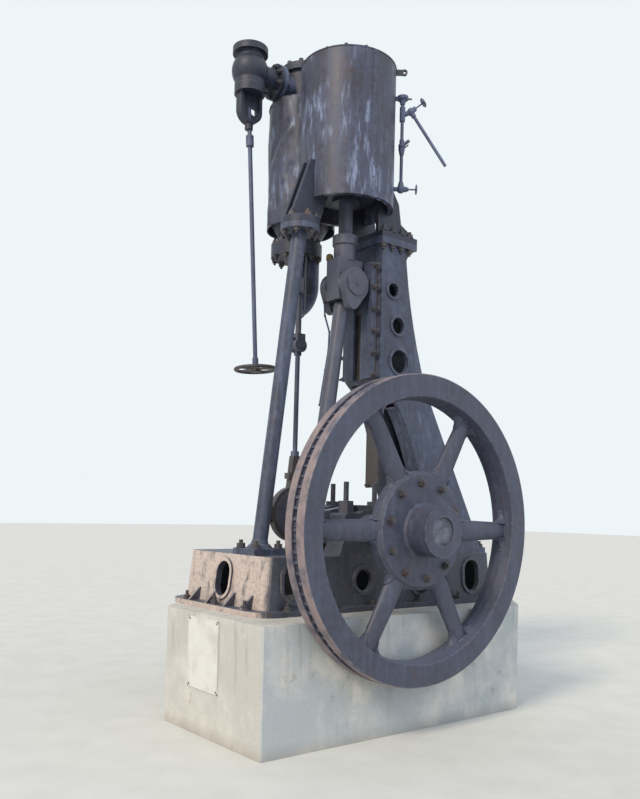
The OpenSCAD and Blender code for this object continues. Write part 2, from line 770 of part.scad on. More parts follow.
module crosshead_pin() {
    end = fork_out + seat;
    color("#6a6b70") engine() translate([0, 0, pin_z]) {
        along_y(crosshead_pin_dia - seat, -end - 1, end + 1);
        for (y = [-end - disc_thick, end]) along_y(crosshead_pin_dia + disc_over, y, y + disc_thick);
        along_y(30, -end - disc_thick - 6, -end);
    }
}

module piston_rod() {
    base_z = pin_z + block_top + 15;
    color("#7b7c80") engine() translate([0, 0, base_z])
        cylinder(d = piston_rod_dia, h = cylinder_base_z + 120 - base_z);
}

module rod_oil_cup() {
    color("#9a7f45") engine() translate([oil_cup_spot[0], oil_cup_spot[1], pin_z + block_top + seat]) {
        cylinder(d = oil_cup_dia, h = 36);
        translate([0, 0, 35]) cylinder(d = oil_cup_dia - 12, h = 10);
        translate([0, 0, 44]) sphere(d = 20);
    }
}

module rod_oil_pipe() {
    last = len(oil_pipe_points) - 1;
    color("#7d6a45") engine() {
        for (i = [1 : last]) pipe_between(oil_pipe_points[i - 1], oil_pipe_points[i], oil_pipe_dia);
        for (i = [1 : last - 1]) translate(oil_pipe_points[i]) sphere(d = oil_pipe_dia + 6);
        translate(oil_pipe_points[0]) sphere(d = 24);
        translate(oil_pipe_points[last]) sphere(d = 22);
    }
}

// Curve from one point to another, bent towards a third
function bend(a, b, c, n = 8) =
    [for (i = [0 : n]) let (t = i / n) (1 - t) * (1 - t) * a + 2 * t * (1 - t) * b + t * t * c];

// Side view of the back column: guide side downwards, then outer side upwards
inner_edge = concat(bend([guide_x, guide_base_z], [455, 2480], [600, 1950]),
                    [[foot_in_x, foot_top_z], [foot_in_x, deck_z]]);
outer_edge = concat([[foot_out_x, deck_z], [foot_out_x, foot_top_z]],
                    bend([803, 2435], [516, 3087], [column_x_top, column_top_z]));

// Side view of the back column, grown by a margin
module column_side_outline(margin = 0) {
    polygon(concat([[guide_x + margin, column_top_z]],
                   [for (p = inner_edge) p + [margin, 0]],
                   [for (p = outer_edge) p - [margin, 0]]));
}

module column_front_outline(margin = 0) {
    top = column_wid / 2 - margin;
    foot = column_feet_wid / 2 - margin;
    polygon([[-top, column_top_z], [-top, guide_base_z], [-foot, deck_z], [foot, deck_z], [top, guide_base_z],
             [top, column_top_z]]);
}

module column_solid(margin = 0) {
    intersection() {
        slab_y(-column_feet_wid, column_feet_wid) column_side_outline(margin);
        slab_x(0, bed_back) column_front_outline(margin);
    }
}

module back_column() {
    foot_y = column_feet_wid / 2;
    color("#4a4d57") engine() difference() {
        union() {
            translate([0, 0, seat]) column_solid();
            translate([head_x0, -head_half, column_top_z - head_flange_thick])
                cube([head_x1 - head_x0, 2 * head_half, head_flange_thick]);
            for (y = [-foot_y, foot_y - pad_wid]) translate([pad_in_x, y, deck_z + seat])
                cube([pad_out_x - pad_in_x, pad_wid, 46]);
            for (h = column_holes) translate([h[0], 0, h[1]])
                slab_y(-column_wid / 2 - 12, column_wid / 2 + 12) circle(d = h[2] + 2 * hole_rim);
        }
        translate([0, 0, -head_flange_thick - seat]) column_solid(column_wall);
        slab_x(0, bed_back)
            polygon([[-foot_y + leg_wid, deck_z - 1], [foot_y - leg_wid, deck_z - 1], [90, leg_arch_z - 60],
                     [60, leg_arch_z], [-60, leg_arch_z], [-90, leg_arch_z - 60]]);
        for (h = column_holes) translate([h[0], 0, h[1]])
            slab_y(-head_half, head_half) circle(d = h[2]);
    }
}

module guide_plate() {
    color("#6a5f55") engine() translate([plate_x, -guide_half, guide_base_z])
        cube([guide_thick, 2 * guide_half, guide_high]);
}

// Two keepers on the guide plate, with lips over the slipper's edges
module guide_strips() {
    lip_x = slipper_x - slipper_thick - seat;
    wall_y = guide_half - keeper_wall;
    color("#565963") engine() translate([0, 0, guide_base_z]) for (side = [0, 1]) mirror([0, side, 0])
        linear_extrude(guide_high)
            polygon([[keeper_x, keeper_gap_half], [lip_x, keeper_gap_half], [lip_x, wall_y], [slipper_x, wall_y],
                     [slipper_x, guide_half], [keeper_x, guide_half]]);
}

module front_column() {
    shank = (column_head_z - deck_z - 70) / cos(column_tilt);
    foot_wid = 2 * column_foot_half;
    color("#484a54") engine() union() {
        translate([-column_foot_x - column_foot_half, -column_foot_half, deck_z + seat])
            cube([foot_wid, foot_wid, 46]);
        translate([-column_foot_x, 0, deck_z + 46]) cylinder(d1 = 200, d2 = 150, h = 30);
        translate([-column_foot_x, 0, deck_z + 70]) rotate([0, column_tilt, 0]) {
            translate([0, 0, -30]) cylinder(d = column_dia, h = shank + 20);
            translate([0, 0, -20]) cylinder(d1 = 150, d2 = column_dia, h = 60);
        }
        translate([-column_head_x, 0, column_head_z - 38]) cylinder(r = column_head_r, h = 38);
    }
}

// A rib between the front column's head and the cylinder, grown by a margin
module front_rib(y, margin = 0) {
    head_in = -column_head_x - column_head_r + 10;
    head_out = -column_head_x + column_head_r - 20;
    jacket_r = jacket_dia / 2;
    slab_y(y - rib_thick / 2 - margin, y + rib_thick / 2 + margin)
        polygon([[head_in - margin, column_head_z + 30], [head_out, column_head_z + 30],
                 [-200, cylinder_base_z - 20], [-200, cylinder_base_z + 160 + margin],
                 [-jacket_r - 30, cylinder_base_z + 150 + margin], [-jacket_r - 62 - margin, cylinder_base_z + 60]]);
}

// A rib between the back column's top and the cylinder, grown by a margin
module back_rib(y, margin = 0) {
    jacket_r = jacket_dia / 2;
    slab_y(y - rib_thick / 2 - margin, y + rib_thick / 2 + margin)
        polygon([[200, column_top_z + 30], [head_x1 - 10 + margin, column_top_z + 30],
                 [head_x1 - 10 + margin, column_top_z + 80],
                 [head_x1 - 30 + margin, column_top_z + 114 + margin],
                 [jacket_r + 75 + margin, cylinder_base_z - 179 + margin],
                 [jacket_r + 47 + margin, cylinder_base_z - 24],
                 [jacket_r - 40, cylinder_base_z + 100 + margin], [200, cylinder_base_z + 100 + margin]]);
}

module foot_ribs(margin = 0) {
    for (side = [-1, 1]) {
        front_rib(side * front_rib_y, margin);
        back_rib(side * back_rib_y, margin);
    }
}

module cylinder_casting() {
    color("#3e4047") engine() difference() {
        union() {
            translate([0, 0, cylinder_base_z]) cylinder(r = casting_r, h = jacket_top_z - 60 - cylinder_base_z);
            translate([0, 0, cylinder_base_z - 50]) cylinder(r = 215, h = 52);
            translate([0, 0, cylinder_base_z - 80]) cylinder(r = 110, h = 40);
            translate([-column_head_x, 0, column_head_z + seat]) cylinder(r = column_head_r, h = 56);
            translate([head_x0, -head_half, column_top_z + seat])
                cube([head_x1 - head_x0, 2 * head_half, head_flange_thick]);
            foot_ribs();
        }
        translate([0, 0, cylinder_base_z - 90]) cylinder(d = piston_rod_dia + 2 * run_gap, h = 300);
    }
}

module cylinder_jacket() {
    color("#474851") engine() difference() {
        rotate_extrude($fn = 128)
            polygon([[jacket_dia / 2 - jacket_wall, jacket_base_z], [jacket_dia / 2, jacket_base_z],
                     [jacket_dia / 2, jacket_top_z - 8], [jacket_dia / 2 - 8, jacket_top_z],
                     [jacket_dia / 2 - jacket_wall, jacket_top_z]]);
        foot_ribs(rib_gap);
    }
}

module cylinder_cover() {
    cover_r = casting_r;
    color("#3c3e45") engine() {
        translate([0, 0, jacket_top_z - 60 + seat]) cylinder(r = cover_r, h = 58);
        translate([0, 0, jacket_top_z - 4]) cylinder(r = cover_r - 95, h = 22);
        for (i = [0 : cover_nuts - 1]) rotate(i * 360 / cover_nuts + 15)
            translate([cover_r - 38, 0, jacket_top_z - 4]) {
                cylinder(d = 52, h = 32, $fn = 6);
                cylinder(d = 28, h = 46);
            }
    }
}

module lifting_lug() {
    color("#3f4148") engine() rotate(side_angle) translate([jacket_dia / 2 + seat, 0, jacket_top_z - 12])
        slab_y(-11, 11) difference() {
            union() {
                translate([0, -20]) square([66, 40]);
                translate([66, 0]) circle(d = 46);
            }
            translate([66, 0]) circle(d = 24);
        }
}

// Round solid about the valve chest's axis, cut clear of the cylinder jacket
module beside_cylinder(r0, r1, z0, z1) {
    difference() {
        translate([0, chest_offset, z0]) cylinder(r = r1, h = z1 - z0);
        if (r0 > 0) translate([0, chest_offset, z0 - 1]) cylinder(r = r0, h = z1 - z0 + 2);
        translate([0, 0, z0 - 1]) cylinder(r = jacket_dia / 2 + seat, h = z1 - z0 + 2);
    }
}

module steam_chest() {
    neck_top_z = chest_base_z + 61;
    color("#3e4047") engine() difference() {
        union() {
            beside_cylinder(0, chest_dia / 2 - 30, chest_base_z + 60, chest_top_z - 20);
            translate([chest_neck_x, chest_neck_y, chest_joint_z + seat]) {
                cylinder(d = chest_neck_dia, h = neck_top_z - chest_joint_z);
                cylinder(d = chest_flange_dia, h = chest_flange_top_z - chest_joint_z);
            }
            translate([0, chest_offset, chest_base_z - 75])
                cylinder(d1 = chest_neck_dia, d2 = chest_dia - 62, h = 136);
        }
        translate([0, 0, chest_joint_z - 1])
            cylinder(r = jacket_dia / 2 + seat, h = neck_top_z - chest_joint_z + 2);
        translate([0, chest_offset, chest_joint_z - 1])
            cylinder(d = valve_rod_dia + 2 * run_gap, h = chest_base_z + 20 - chest_joint_z);
    }
}

// Cover under the chest, with the valve rod's gland
module chest_bottom_cover() {
    bore_high = chest_joint_z - cover_base_z + gland_high + 2;
    color("#41434a") engine() difference() {
        union() {
            translate([chest_neck_x, chest_neck_y, cover_base_z])
                cylinder(d = chest_flange_dia, h = chest_joint_z - cover_base_z);
            translate([0, chest_offset, cover_base_z - gland_high]) cylinder(d = gland_dia, h = gland_high + 1);
        }
        translate([0, chest_offset, cover_base_z - gland_high - 1])
            cylinder(d = valve_rod_dia + 2 * run_gap, h = bore_high);
    }
}

module chest_jacket() {
    color("#4b4c55") engine() {
        beside_cylinder(chest_dia / 2 - 28, chest_dia / 2, chest_base_z, chest_top_z);
        beside_cylinder(bonnet_dia / 2 + 26, chest_dia / 2 - 20, chest_top_z - 19, chest_top_z);
    }
}

module chest_bonnet() {
    flange_dia = bonnet_dia + 50;
    color("#3d3f45") engine() translate([0, chest_offset, 0]) {
        translate([0, 0, chest_top_z - 20 + seat]) cylinder(d = bonnet_dia, h = bonnet_high - 60);
        translate([0, 0, bonnet_top_z - 82]) cylinder(d = flange_dia, h = 33);
        translate([0, 0, bonnet_top_z - 50]) cylinder(d = flange_dia - 6, h = 28);
        for (i = [0 : bonnet_nuts - 1]) rotate(i * 360 / bonnet_nuts + 8)
            translate([bonnet_dia / 2, 0, bonnet_top_z - 23]) cylinder(d = 40, h = 23, $fn = 6);
    }
}

// Exhaust pipe down from the chest's bottom cover, turning away to a blank flange
module exhaust_elbow() {
    bend_r = exhaust_bend_r;
    top_z = cover_base_z - seat;
    straight = top_z - exhaust_low_z - exhaust_dia / 2 - bend_r;
    color("#414248") engine() translate([exhaust_x, exhaust_y, top_z]) {
        translate([0, 0, -straight]) cylinder(d = exhaust_dia, h = straight);
        translate([0, bend_r, -straight]) rotate([0, 0, 90]) rotate([90, 0, 180])
            rotate_extrude(angle = -90) translate([bend_r, 0]) circle(d = exhaust_dia);
        translate([0, bend_r - 1, -straight - bend_r]) rotate([-90, 0, 0])
            cylinder(d = blank_dia, h = blank_thick);
    }
}

module chest_drain_pipe() {
    color("#3f4148") engine() translate([drain_x, drain_y, drain_low_z])
        cylinder(d = chest_drain_dia, h = cover_base_z - seat - drain_low_z);
}

module inlet_pipe() {
    color("#3d3f45") engine() difference() {
        translate([0, chest_offset, throttle_z]) rotate([0, -90, 0]) {
            cylinder(d = inlet_dia, h = inlet_joint_x);
            translate([0, 0, inlet_joint_x - inlet_flange_thick])
                cylinder(d = inlet_flange_dia, h = inlet_flange_thick);
        }
        translate([0, chest_offset, chest_top_z - 20]) cylinder(d = bonnet_dia + 2 * seat, h = bonnet_high);
    }
}

module throttle_body() {
    joint_run = throttle_x - inlet_joint_x - seat;
    color("#3a3c43") engine() translate([-throttle_x, chest_offset, throttle_z]) {
        difference() {
            sphere(d = throttle_dia);
            translate([0, 0, -throttle_joint_drop - 60]) cylinder(d = throttle_dia, h = 61);
        }
        rotate([0, 90, 0]) cylinder(d = inlet_dia, h = joint_run);
        translate([joint_run - inlet_flange_thick, 0, 0]) rotate([0, 90, 0])
            cylinder(d = inlet_flange_dia, h = inlet_flange_thick);
        cylinder(d = throttle_neck_dia, h = throttle_top_rise + 1);
        translate([0, 0, throttle_top_rise]) cylinder(d = throttle_top_dia, h = throttle_top_thick);
        translate([0, 0, -throttle_joint_drop]) cylinder(d = throttle_collar_dia, h = collar_thick);
    }
}

// Outline of the yoke in side view, shrunk by a margin; origin at the centre of its round end
module yoke_outline(margin, high) {
    half = yoke_half - margin;
    circle(r = half);
    translate([-half, 0]) square([2 * half, high]);
}

// Yoke under the throttle: round-ended, with a thinner web, an eye and a boss for the spindle
module throttle_yoke() {
    top_z = throttle_z - throttle_joint_drop - seat;
    arch_z = yoke_bottom_z + yoke_half;
    arm_high = top_z - collar_thick / 2 - arch_z;
    color("#3d3f46") engine() difference() {
        translate([-throttle_x, chest_offset, 0]) {
            translate([0, 0, top_z - collar_thick]) cylinder(d = throttle_collar_dia, h = collar_thick);
            difference() {
                translate([0, 0, arch_z]) slab_y(-yoke_side, yoke_side) yoke_outline(0, arm_high);
                for (y = [-yoke_side - 1, yoke_web_half]) translate([0, 0, arch_z])
                    slab_y(y, y + yoke_side - yoke_web_half + 1) yoke_outline(yoke_bar, arm_high + 1);
                translate([yoke_eye_x, 0, yoke_eye_z]) along_y(yoke_eye_dia, -yoke_side, yoke_side);
            }
            translate([0, 0, yoke_bottom_z - yoke_tip]) cylinder(d = yoke_tip_dia, h = yoke_tip + yoke_bar);
        }
        spindle_line() translate([0, 0, -42]) cylinder(d = spindle_dia + 2 * run_gap, h = 300);
    }
}

// Frame on the leaning spindle: origin at its top, +Z down towards the handwheel
module spindle_line() {
    translate([-throttle_x, chest_offset, spindle_top_z]) rotate(spindle_turn) rotate([0, -spindle_lean, 0])
        mirror([0, 0, 1]) children();
}

module throttle_spindle() {
    color("#46474c") engine() spindle_line() {
        translate([0, 0, -40]) cylinder(d = spindle_dia, h = spindle_len + 40);
        translate([0, 0, 182]) cylinder(d = spindle_dia + 28, h = 84);
        translate([0, 0, spindle_len - 90]) cylinder(d = spindle_dia + 14, h = 52);
    }
}

module throttle_handwheel() {
    color("#3c3a3c") engine() spindle_line() translate([0, 0, spindle_len]) {
        difference() {
            translate([0, 0, -34]) cylinder(d = 66, h = 60);
            translate([0, 0, -35]) cylinder(d = spindle_dia, h = 35);
        }
        rotate_extrude($fn = 72) translate([handwheel_dia / 2 - 14, 0]) circle(d = 28, $fn = 20);
        for (i = [0 : 4]) rotate(i * 72) translate([24, -11, -9]) cube([handwheel_dia / 2 - 36, 22, 14]);
    }
}

// Frame on the indicator pipe, with +X away from the cylinder
module rig() {
    engine() rotate(side_angle) translate([rig_r, 0, 0]) children();
}

module rig_pipes(dia, stub_dia) {
    translate([0, 0, rig_base_z]) cylinder(d = dia, h = rig_top_z - rig_base_z);
    for (z = [rig_base_z, rig_top_z]) translate([0, 0, z]) rotate([0, -90, 0])
        cylinder(d = stub_dia, h = rig_r - jacket_dia / 2 - seat);
}

module indicator_pipe() {
    color("#4a4c57") rig() rig_pipes(indicator_dia, indicator_dia + 8);
}

// Points on the rig: body of the branch valve, and the directions of its stem and its tube
module at_branch_valve() {
    translate([rig_branch_x, 0, rig_branch_z + 31]) children();
}

module along_stem() {
    rotate([0, 90 - rig_stem_rise, 0]) children();
}

module along_tube() {
    rotate([0, 180 - rig_tube_lean, 0]) children();
}

module indicator_cocks() {
    color("#50505c") rig() difference() {
        union() {
            translate([0, 0, rig_top_z - 8]) cylinder(d = 88, h = 24);
            translate([0, 0, rig_top_z - 48]) cylinder(d1 = 36, d2 = 58, h = 41);
            translate([30, 0, rig_top_z]) rotate([0, 90, 0]) cylinder(d = 14, h = 42);
            translate([0, 0, rig_branch_z - 48]) cylinder(d = 44, h = 112);
            translate([0, 0, rig_branch_z]) rotate([0, 65, 0]) cylinder(d = 38, h = 64);
            at_branch_valve() {
                sphere(d = 62);
                along_stem() cylinder(d = 40, h = 44);
                along_tube() cylinder(d = 38, h = 48);
            }
            translate([0, 0, rig_cock_z]) {
                sphere(d = 54);
                translate([0, 0, -72]) cylinder(d1 = 34, d2 = 54, h = 50);
                translate([0, 0, 14]) cylinder(d = 38, h = 34);
                along_stem() cylinder(d = 26, h = 72);
                translate([0, 0, -30]) along_stem() cylinder(d = 12, h = 66);
            }
            translate([0, 0, rig_base_z]) {
                sphere(d = 64);
                translate([0, 0, 18]) cylinder(d1 = 54, d2 = 34, h = 40);
                rotate([0, 90, 0]) cylinder(d = 42, h = 44);
                rotate([0, 90, 0]) cylinder(d = 32, h = rig_gland);
            }
        }
        rig_pipes(indicator_dia + 2 * run_gap, indicator_dia + 8 + 2 * run_gap);
        at_branch_valve() along_stem() translate([0, 0, rig_gland - 30])
            cylinder(d = stem_dia + 2 * run_gap, h = 40);
        translate([rig_gland - 30, 0, rig_base_z]) rotate([0, 90, 0])
            cylinder(d = stem_dia + 2 * run_gap, h = 40);
    }
}

// Small handwheel on its stem, drawn up +Z from the end of the stem inside the gland
module small_wheel() {
    rim_r = small_wheel_dia / 2 - 5;
    cylinder(d = stem_dia, h = 28 + small_wheel_out);
    translate([0, 0, 28 + small_wheel_out - 16]) {
        cylinder(d = 24, h = 16);
        translate([0, 0, 8]) rotate_extrude() translate([rim_r, 0]) circle(d = 10, $fn = 16);
        for (i = [0 : 3]) rotate(i * 90) translate([8, -4, 4]) cube([rim_r - 9, 8, 8]);
    }
}

module branch_valve_wheel() {
    color("#4a4b52") rig() at_branch_valve() along_stem() translate([0, 0, rig_gland - 28]) small_wheel();
}

module drain_valve_wheel() {
    color("#4a4b52") rig() translate([rig_gland - 28, 0, rig_base_z]) rotate([0, 90, 0]) small_wheel();
}

module drain_tube() {
    color("#4f515d") rig() at_branch_valve() along_tube() translate([0, 0, 48 + seat]) cylinder(d = 25, h = 460);
}

plinth();
notice_plate();
bedplate();
front_bearing_cap();
rear_bearing_cap();
crankshaft();
flywheel();
hub_bolts();
eccentric_sheave();
eccentric_strap();
eccentric_rod();
valve_rod();
valve_rod_guide();
connecting_rod();
big_end_brasses();
crosshead();
crosshead_pin();
piston_rod();
rod_oil_cup();
rod_oil_pipe();
back_column();
guide_plate();
guide_strips();
front_column();
cylinder_casting();
cylinder_jacket();
cylinder_cover();
lifting_lug();
steam_chest();
chest_bottom_cover();
chest_jacket();
chest_bonnet();
exhaust_elbow();
chest_drain_pipe();
inlet_pipe();
throttle_body();
throttle_yoke();
throttle_spindle();
throttle_handwheel();
indicator_pipe();
indicator_cocks();
branch_valve_wheel();
drain_valve_wheel();
drain_tube();
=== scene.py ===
"""Looks of a stationary steam engine on its concrete plinth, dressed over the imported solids.

Metres, in the frame of the solids: +Z up, crankshaft along Y, flywheel towards -Y, back column towards +X.
"""
import json
import math

import bmesh
import bpy
from bpy.props import FloatProperty, FloatVectorProperty, IntProperty, PointerProperty
from bpy.types import Operator, Panel, PropertyGroup
from mathutils import Matrix, Vector, noise


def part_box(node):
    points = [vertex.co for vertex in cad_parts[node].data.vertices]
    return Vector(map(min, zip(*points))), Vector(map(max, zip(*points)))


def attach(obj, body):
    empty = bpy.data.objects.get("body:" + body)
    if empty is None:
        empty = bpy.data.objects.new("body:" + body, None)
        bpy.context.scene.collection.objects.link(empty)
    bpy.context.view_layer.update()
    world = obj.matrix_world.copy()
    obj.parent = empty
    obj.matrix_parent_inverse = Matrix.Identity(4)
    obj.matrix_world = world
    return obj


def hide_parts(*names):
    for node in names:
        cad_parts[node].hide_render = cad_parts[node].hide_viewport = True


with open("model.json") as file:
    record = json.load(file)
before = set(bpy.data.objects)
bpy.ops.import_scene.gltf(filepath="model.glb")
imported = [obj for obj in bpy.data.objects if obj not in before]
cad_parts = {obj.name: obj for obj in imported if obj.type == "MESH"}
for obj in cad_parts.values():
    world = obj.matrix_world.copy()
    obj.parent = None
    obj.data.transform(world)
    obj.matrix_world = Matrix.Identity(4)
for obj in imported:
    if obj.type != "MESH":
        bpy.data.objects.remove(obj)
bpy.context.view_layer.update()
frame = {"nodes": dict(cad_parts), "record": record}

bl_info = {
    "name": "Stationary Steam Engine Looks",
    "version": (1, 0, 0),
    "blender": (4, 5, 0),
    "location": "View3D > Sidebar > Engine",
    "description": "Dresses the solids of a stationary steam engine with paint, rust, sheets and fasteners",
    "category": "Object",
}

BODY = "engine"
MATERIALS = {}
TREES = {}
DOWN, UP = Vector((0, 0, -1)), Vector((0, 0, 1))
WEST, EAST = Vector((-1, 0, 0)), Vector((1, 0, 0))
SOUTH, NORTH = Vector((0, -1, 0)), Vector((0, 1, 0))

# Metres, of the solids that added pieces sit on
SEAT = 0.0003
RIM_MID_FROM_BOSS = 0.250
FILLETS_FROM_TREAD = 0.176
GROOVE_DEEP, GROOVE_WID = 0.026, 0.053
HUB_DISC_R = 0.420
SHAFT_R = 0.1015
CASTING_DISC = 0.056
HEAD_FLANGE = 0.048
COLUMN_PAD = 0.046
FRONT_HEAD, FRONT_HEAD_R = 0.038, 0.148
FRONT_FOOT_HALF = 0.140
BED_FLANGE = 0.038
COVER_GLAND = 0.040
INLET_FLANGE = 0.030

# Screws and bolts that are not common nuts: width, height, diameter and height of the middle, seed
SEAM_SCREW = (0.010, 0.003, 0.006, 0.004, 3)
NOTICE_SCREW = (0.014, 0.003, 0.008, 0.004, 2)
KEEPER_BOLT = (0.040, 0.024, 0.020, 0.058, 5)

# Folds of the chest's sheet: in or out, both ends as degrees about the chest and height, and width
FOLDS = ((-1, (207, 4.76), (172, 4.50), 0.024),
         (1, (212, 4.70), (178, 4.42), 0.030),
         (-1, (215, 4.40), (190, 4.10), 0.030),
         (1, (205, 4.30), (200, 4.00), 0.030))


def colour(code):
    """Linear RGBA of an sRGB hex code."""
    parts = [int(code[i:i + 2], 16) / 255 for i in (1, 3, 5)]
    return tuple(c / 12.92 if c <= 0.04045 else ((c + 0.055) / 1.055) ** 2.4 for c in parts) + (1.0,)


def middle(node):
    """Centre of a node's box."""
    low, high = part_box(node)
    return (low + high) / 2


def round_box(node):
    """Lowest and highest corner and centre of a round node's box, and its radius."""
    low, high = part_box(node)
    return low, high, (low + high) / 2, (high.x - low.x) / 2


def polar(axis, reach, angle, z):
    """Point at a distance and an angle about an upright axis."""
    return Vector((axis.x + reach * math.cos(angle), axis.y + reach * math.sin(angle), z))


def colour_property(label, code, text):
    return FloatVectorProperty(name=label, description=text, subtype="COLOR", size=4, min=0, max=1,
                               default=colour(code))


def length_property(label, metres, text):
    return FloatProperty(name=label, description=text, default=metres, min=0, unit="LENGTH", precision=4)


class EngineColours(PropertyGroup):
    bed: colour_property("Bed", "#363841", "Weathered black paint of the bed and its caps")
    bed_faded: colour_property("Bed, faded", "#585f70", "Bleached paint of the bed")
    # Tan for the bed's end towards -X: painted sunlight as well as dust
    tan: colour_property("Tan dust", "#cbbbb1", "Dusty, rust-stained paint of the bed's end")
    wheel: colour_property("Wheel", "#3b3d4b", "Paint of the flywheel")
    wheel_faded: colour_property("Wheel, faded", "#585f76", "Bleached paint of the flywheel")
    wheel_bare: colour_property("Wheel's edges", "#b5b3ba", "Edges of the flywheel, worn pale")
    tread: colour_property("Wheel's tread", "#8f8080", "Rubbed outer face of the rim")
    column: colour_property("Columns", "#343847", "Paint of the columns and the valve gear")
    column_faded: colour_property("Columns, faded", "#5a6580", "Bleached paint of the columns")
    rod: colour_property("Rods", "#43444f", "Oily paint on the running gear")
    rod_faded: colour_property("Rods, faded", "#60657a", "Bleached paint of the running gear")
    brass: colour_property("Brass", "#86703f", "Dull brass")
    brass_dirt: colour_property("Brass dirt", "#4b4334", "Old oil on brass")
    jacket: colour_property("Sheets", "#35333f", "Paint of the lagging sheets")
    jacket_faded: colour_property("Sheets, faded", "#535c78", "Bleached paint of the sheets")
    chalk: colour_property("Chalky runs", "#8d9ab8", "Pale runs down the sheets")
    fitting: colour_property("Fittings", "#262936", "Paint of the castings up high")
    fitting_faded: colour_property("Fittings, faded", "#3d445a", "Bleached paint of the castings")
    guide: colour_property("Guide", "#3c3a3d", "Paint left on the guide and the strap")
    guide_faded: colour_property("Guide, faded", "#5a5452", "Browned paint of the guide")
    pipe: colour_property("Pipes", "#434861", "Paint of pipes and the spindle")
    pipe_faded: colour_property("Pipes, faded", "#727d9c", "Bleached paint of the pipes")
    bolt: colour_property("Bolts", "#3a373a", "Paint left on bolts and nuts")
    bolt_faded: colour_property("Bolts, faded", "#565257", "Browned paint of bolts and nuts")
    rust: colour_property("Rust", "#5e3f30", "Rust at joints and worn places")
    bare: colour_property("Worn edge", "#a3a0a6", "Edges worn pale")
    cut_face: colour_property("Sawn steel", "#7d8292", "Sawn end of the shaft")
    cut_dirt: colour_property("Sawn steel, dirt", "#40424c", "Dirt in the saw's marks")
    concrete: colour_property("Concrete", "#c3c2bc", "Weathered concrete")
    concrete_pale: colour_property("Concrete, pale", "#dddbd4", "Bleached patches of the concrete")
    concrete_cool: colour_property("Concrete, cool", "#b3bcc0", "Tone of the concrete's shaded side")
    stain: colour_property("Stain", "#8b8377", "Stains on the concrete")
    enamel: colour_property("Notice", "#dcdcd6", "Faded enamel of the notice plate")


class EngineSizes(PropertyGroup):
    nut_wid: length_property("Nut", 0.046, "Width of the common nuts across their corners")
    nut_high: length_property("Nut height", 0.026, "Height of the common nuts")
    stud_dia: length_property("Stud", 0.022, "Diameter of the common studs")
    crumple: length_property("Crumple", 0.012, "Depth of the dents in the chest's sheet")
    sheet: length_property("Sheet", 0.003, "Thickness of the lagging sheets")
    barring_slots: IntProperty(name="Barring slots", description="Slots round the flywheel's groove",
                               default=98, min=12)
    fillet: length_property("Spoke fillet", 0.085, "Radius where spokes run into the rim and the hub disc")


def add(tree, kind, inputs=None, **settings):
    """One node with its settings, values and links."""
    node = tree.nodes.new(kind)
    for key, value in settings.items():
        setattr(node, key, value)
    for key, value in (inputs or {}).items():
        if isinstance(value, bpy.types.NodeSocket):
            tree.links.new(value, node.inputs[key])
        else:
            node.inputs[key].default_value = value
    return node


def patches(tree, place, scale, low, high, stretch=(1, 1, 1), detail=5.0):
    """Soft patches between 0 and 1, so many to the metre, stretched where wanted."""
    spread = add(tree, "ShaderNodeMapping", {"Vector": place, "Scale": stretch})
    cloud = add(tree, "ShaderNodeTexNoise",
                {"Vector": spread.outputs[0], "Scale": scale, "Detail": detail, "Roughness": 0.6})
    return add(tree, "ShaderNodeMapRange",
               {"Value": cloud.outputs[0], "From Min": low, "From Max": high},
                interpolation_type="SMOOTHSTEP").outputs[0]


def blank_material(name):
    """Empty material with its surface shader: the tree, the shader and the place on the object."""
    material = bpy.data.materials.new(name)
    material.use_nodes = True
    tree = material.node_tree
    tree.nodes.clear()
    surface = add(tree, "ShaderNodeBsdfPrincipled")
    add(tree, "ShaderNodeOutputMaterial", {"Surface": surface.outputs[0]})
    where = add(tree, "ShaderNodeTexCoord")
    return material, tree, surface, where


def dents(tree, surface, place, scales, depth):
    """Bump from noise at several scales to the metre, each half as strong as the one before."""
    height = None
    share = 1.0
    for scale in scales:
        cloud = add(tree, "ShaderNodeTexNoise", {"Vector": place, "Scale": scale, "Detail": 4.0}).outputs[0]
        part = add(tree, "ShaderNodeMath", {0: cloud, 1: share}, operation="MULTIPLY").outputs[0]
        if height is not None:
            part = add(tree, "ShaderNodeMath", {0: part, 1: height}, operation="ADD").outputs[0]
        height = part
        share *= 0.5
    bump = add(tree, "ShaderNodeBump", {"Height": height, "Distance": depth, "Strength": 0.6})
    tree.links.new(bump.outputs[0], surface.inputs["Normal"])


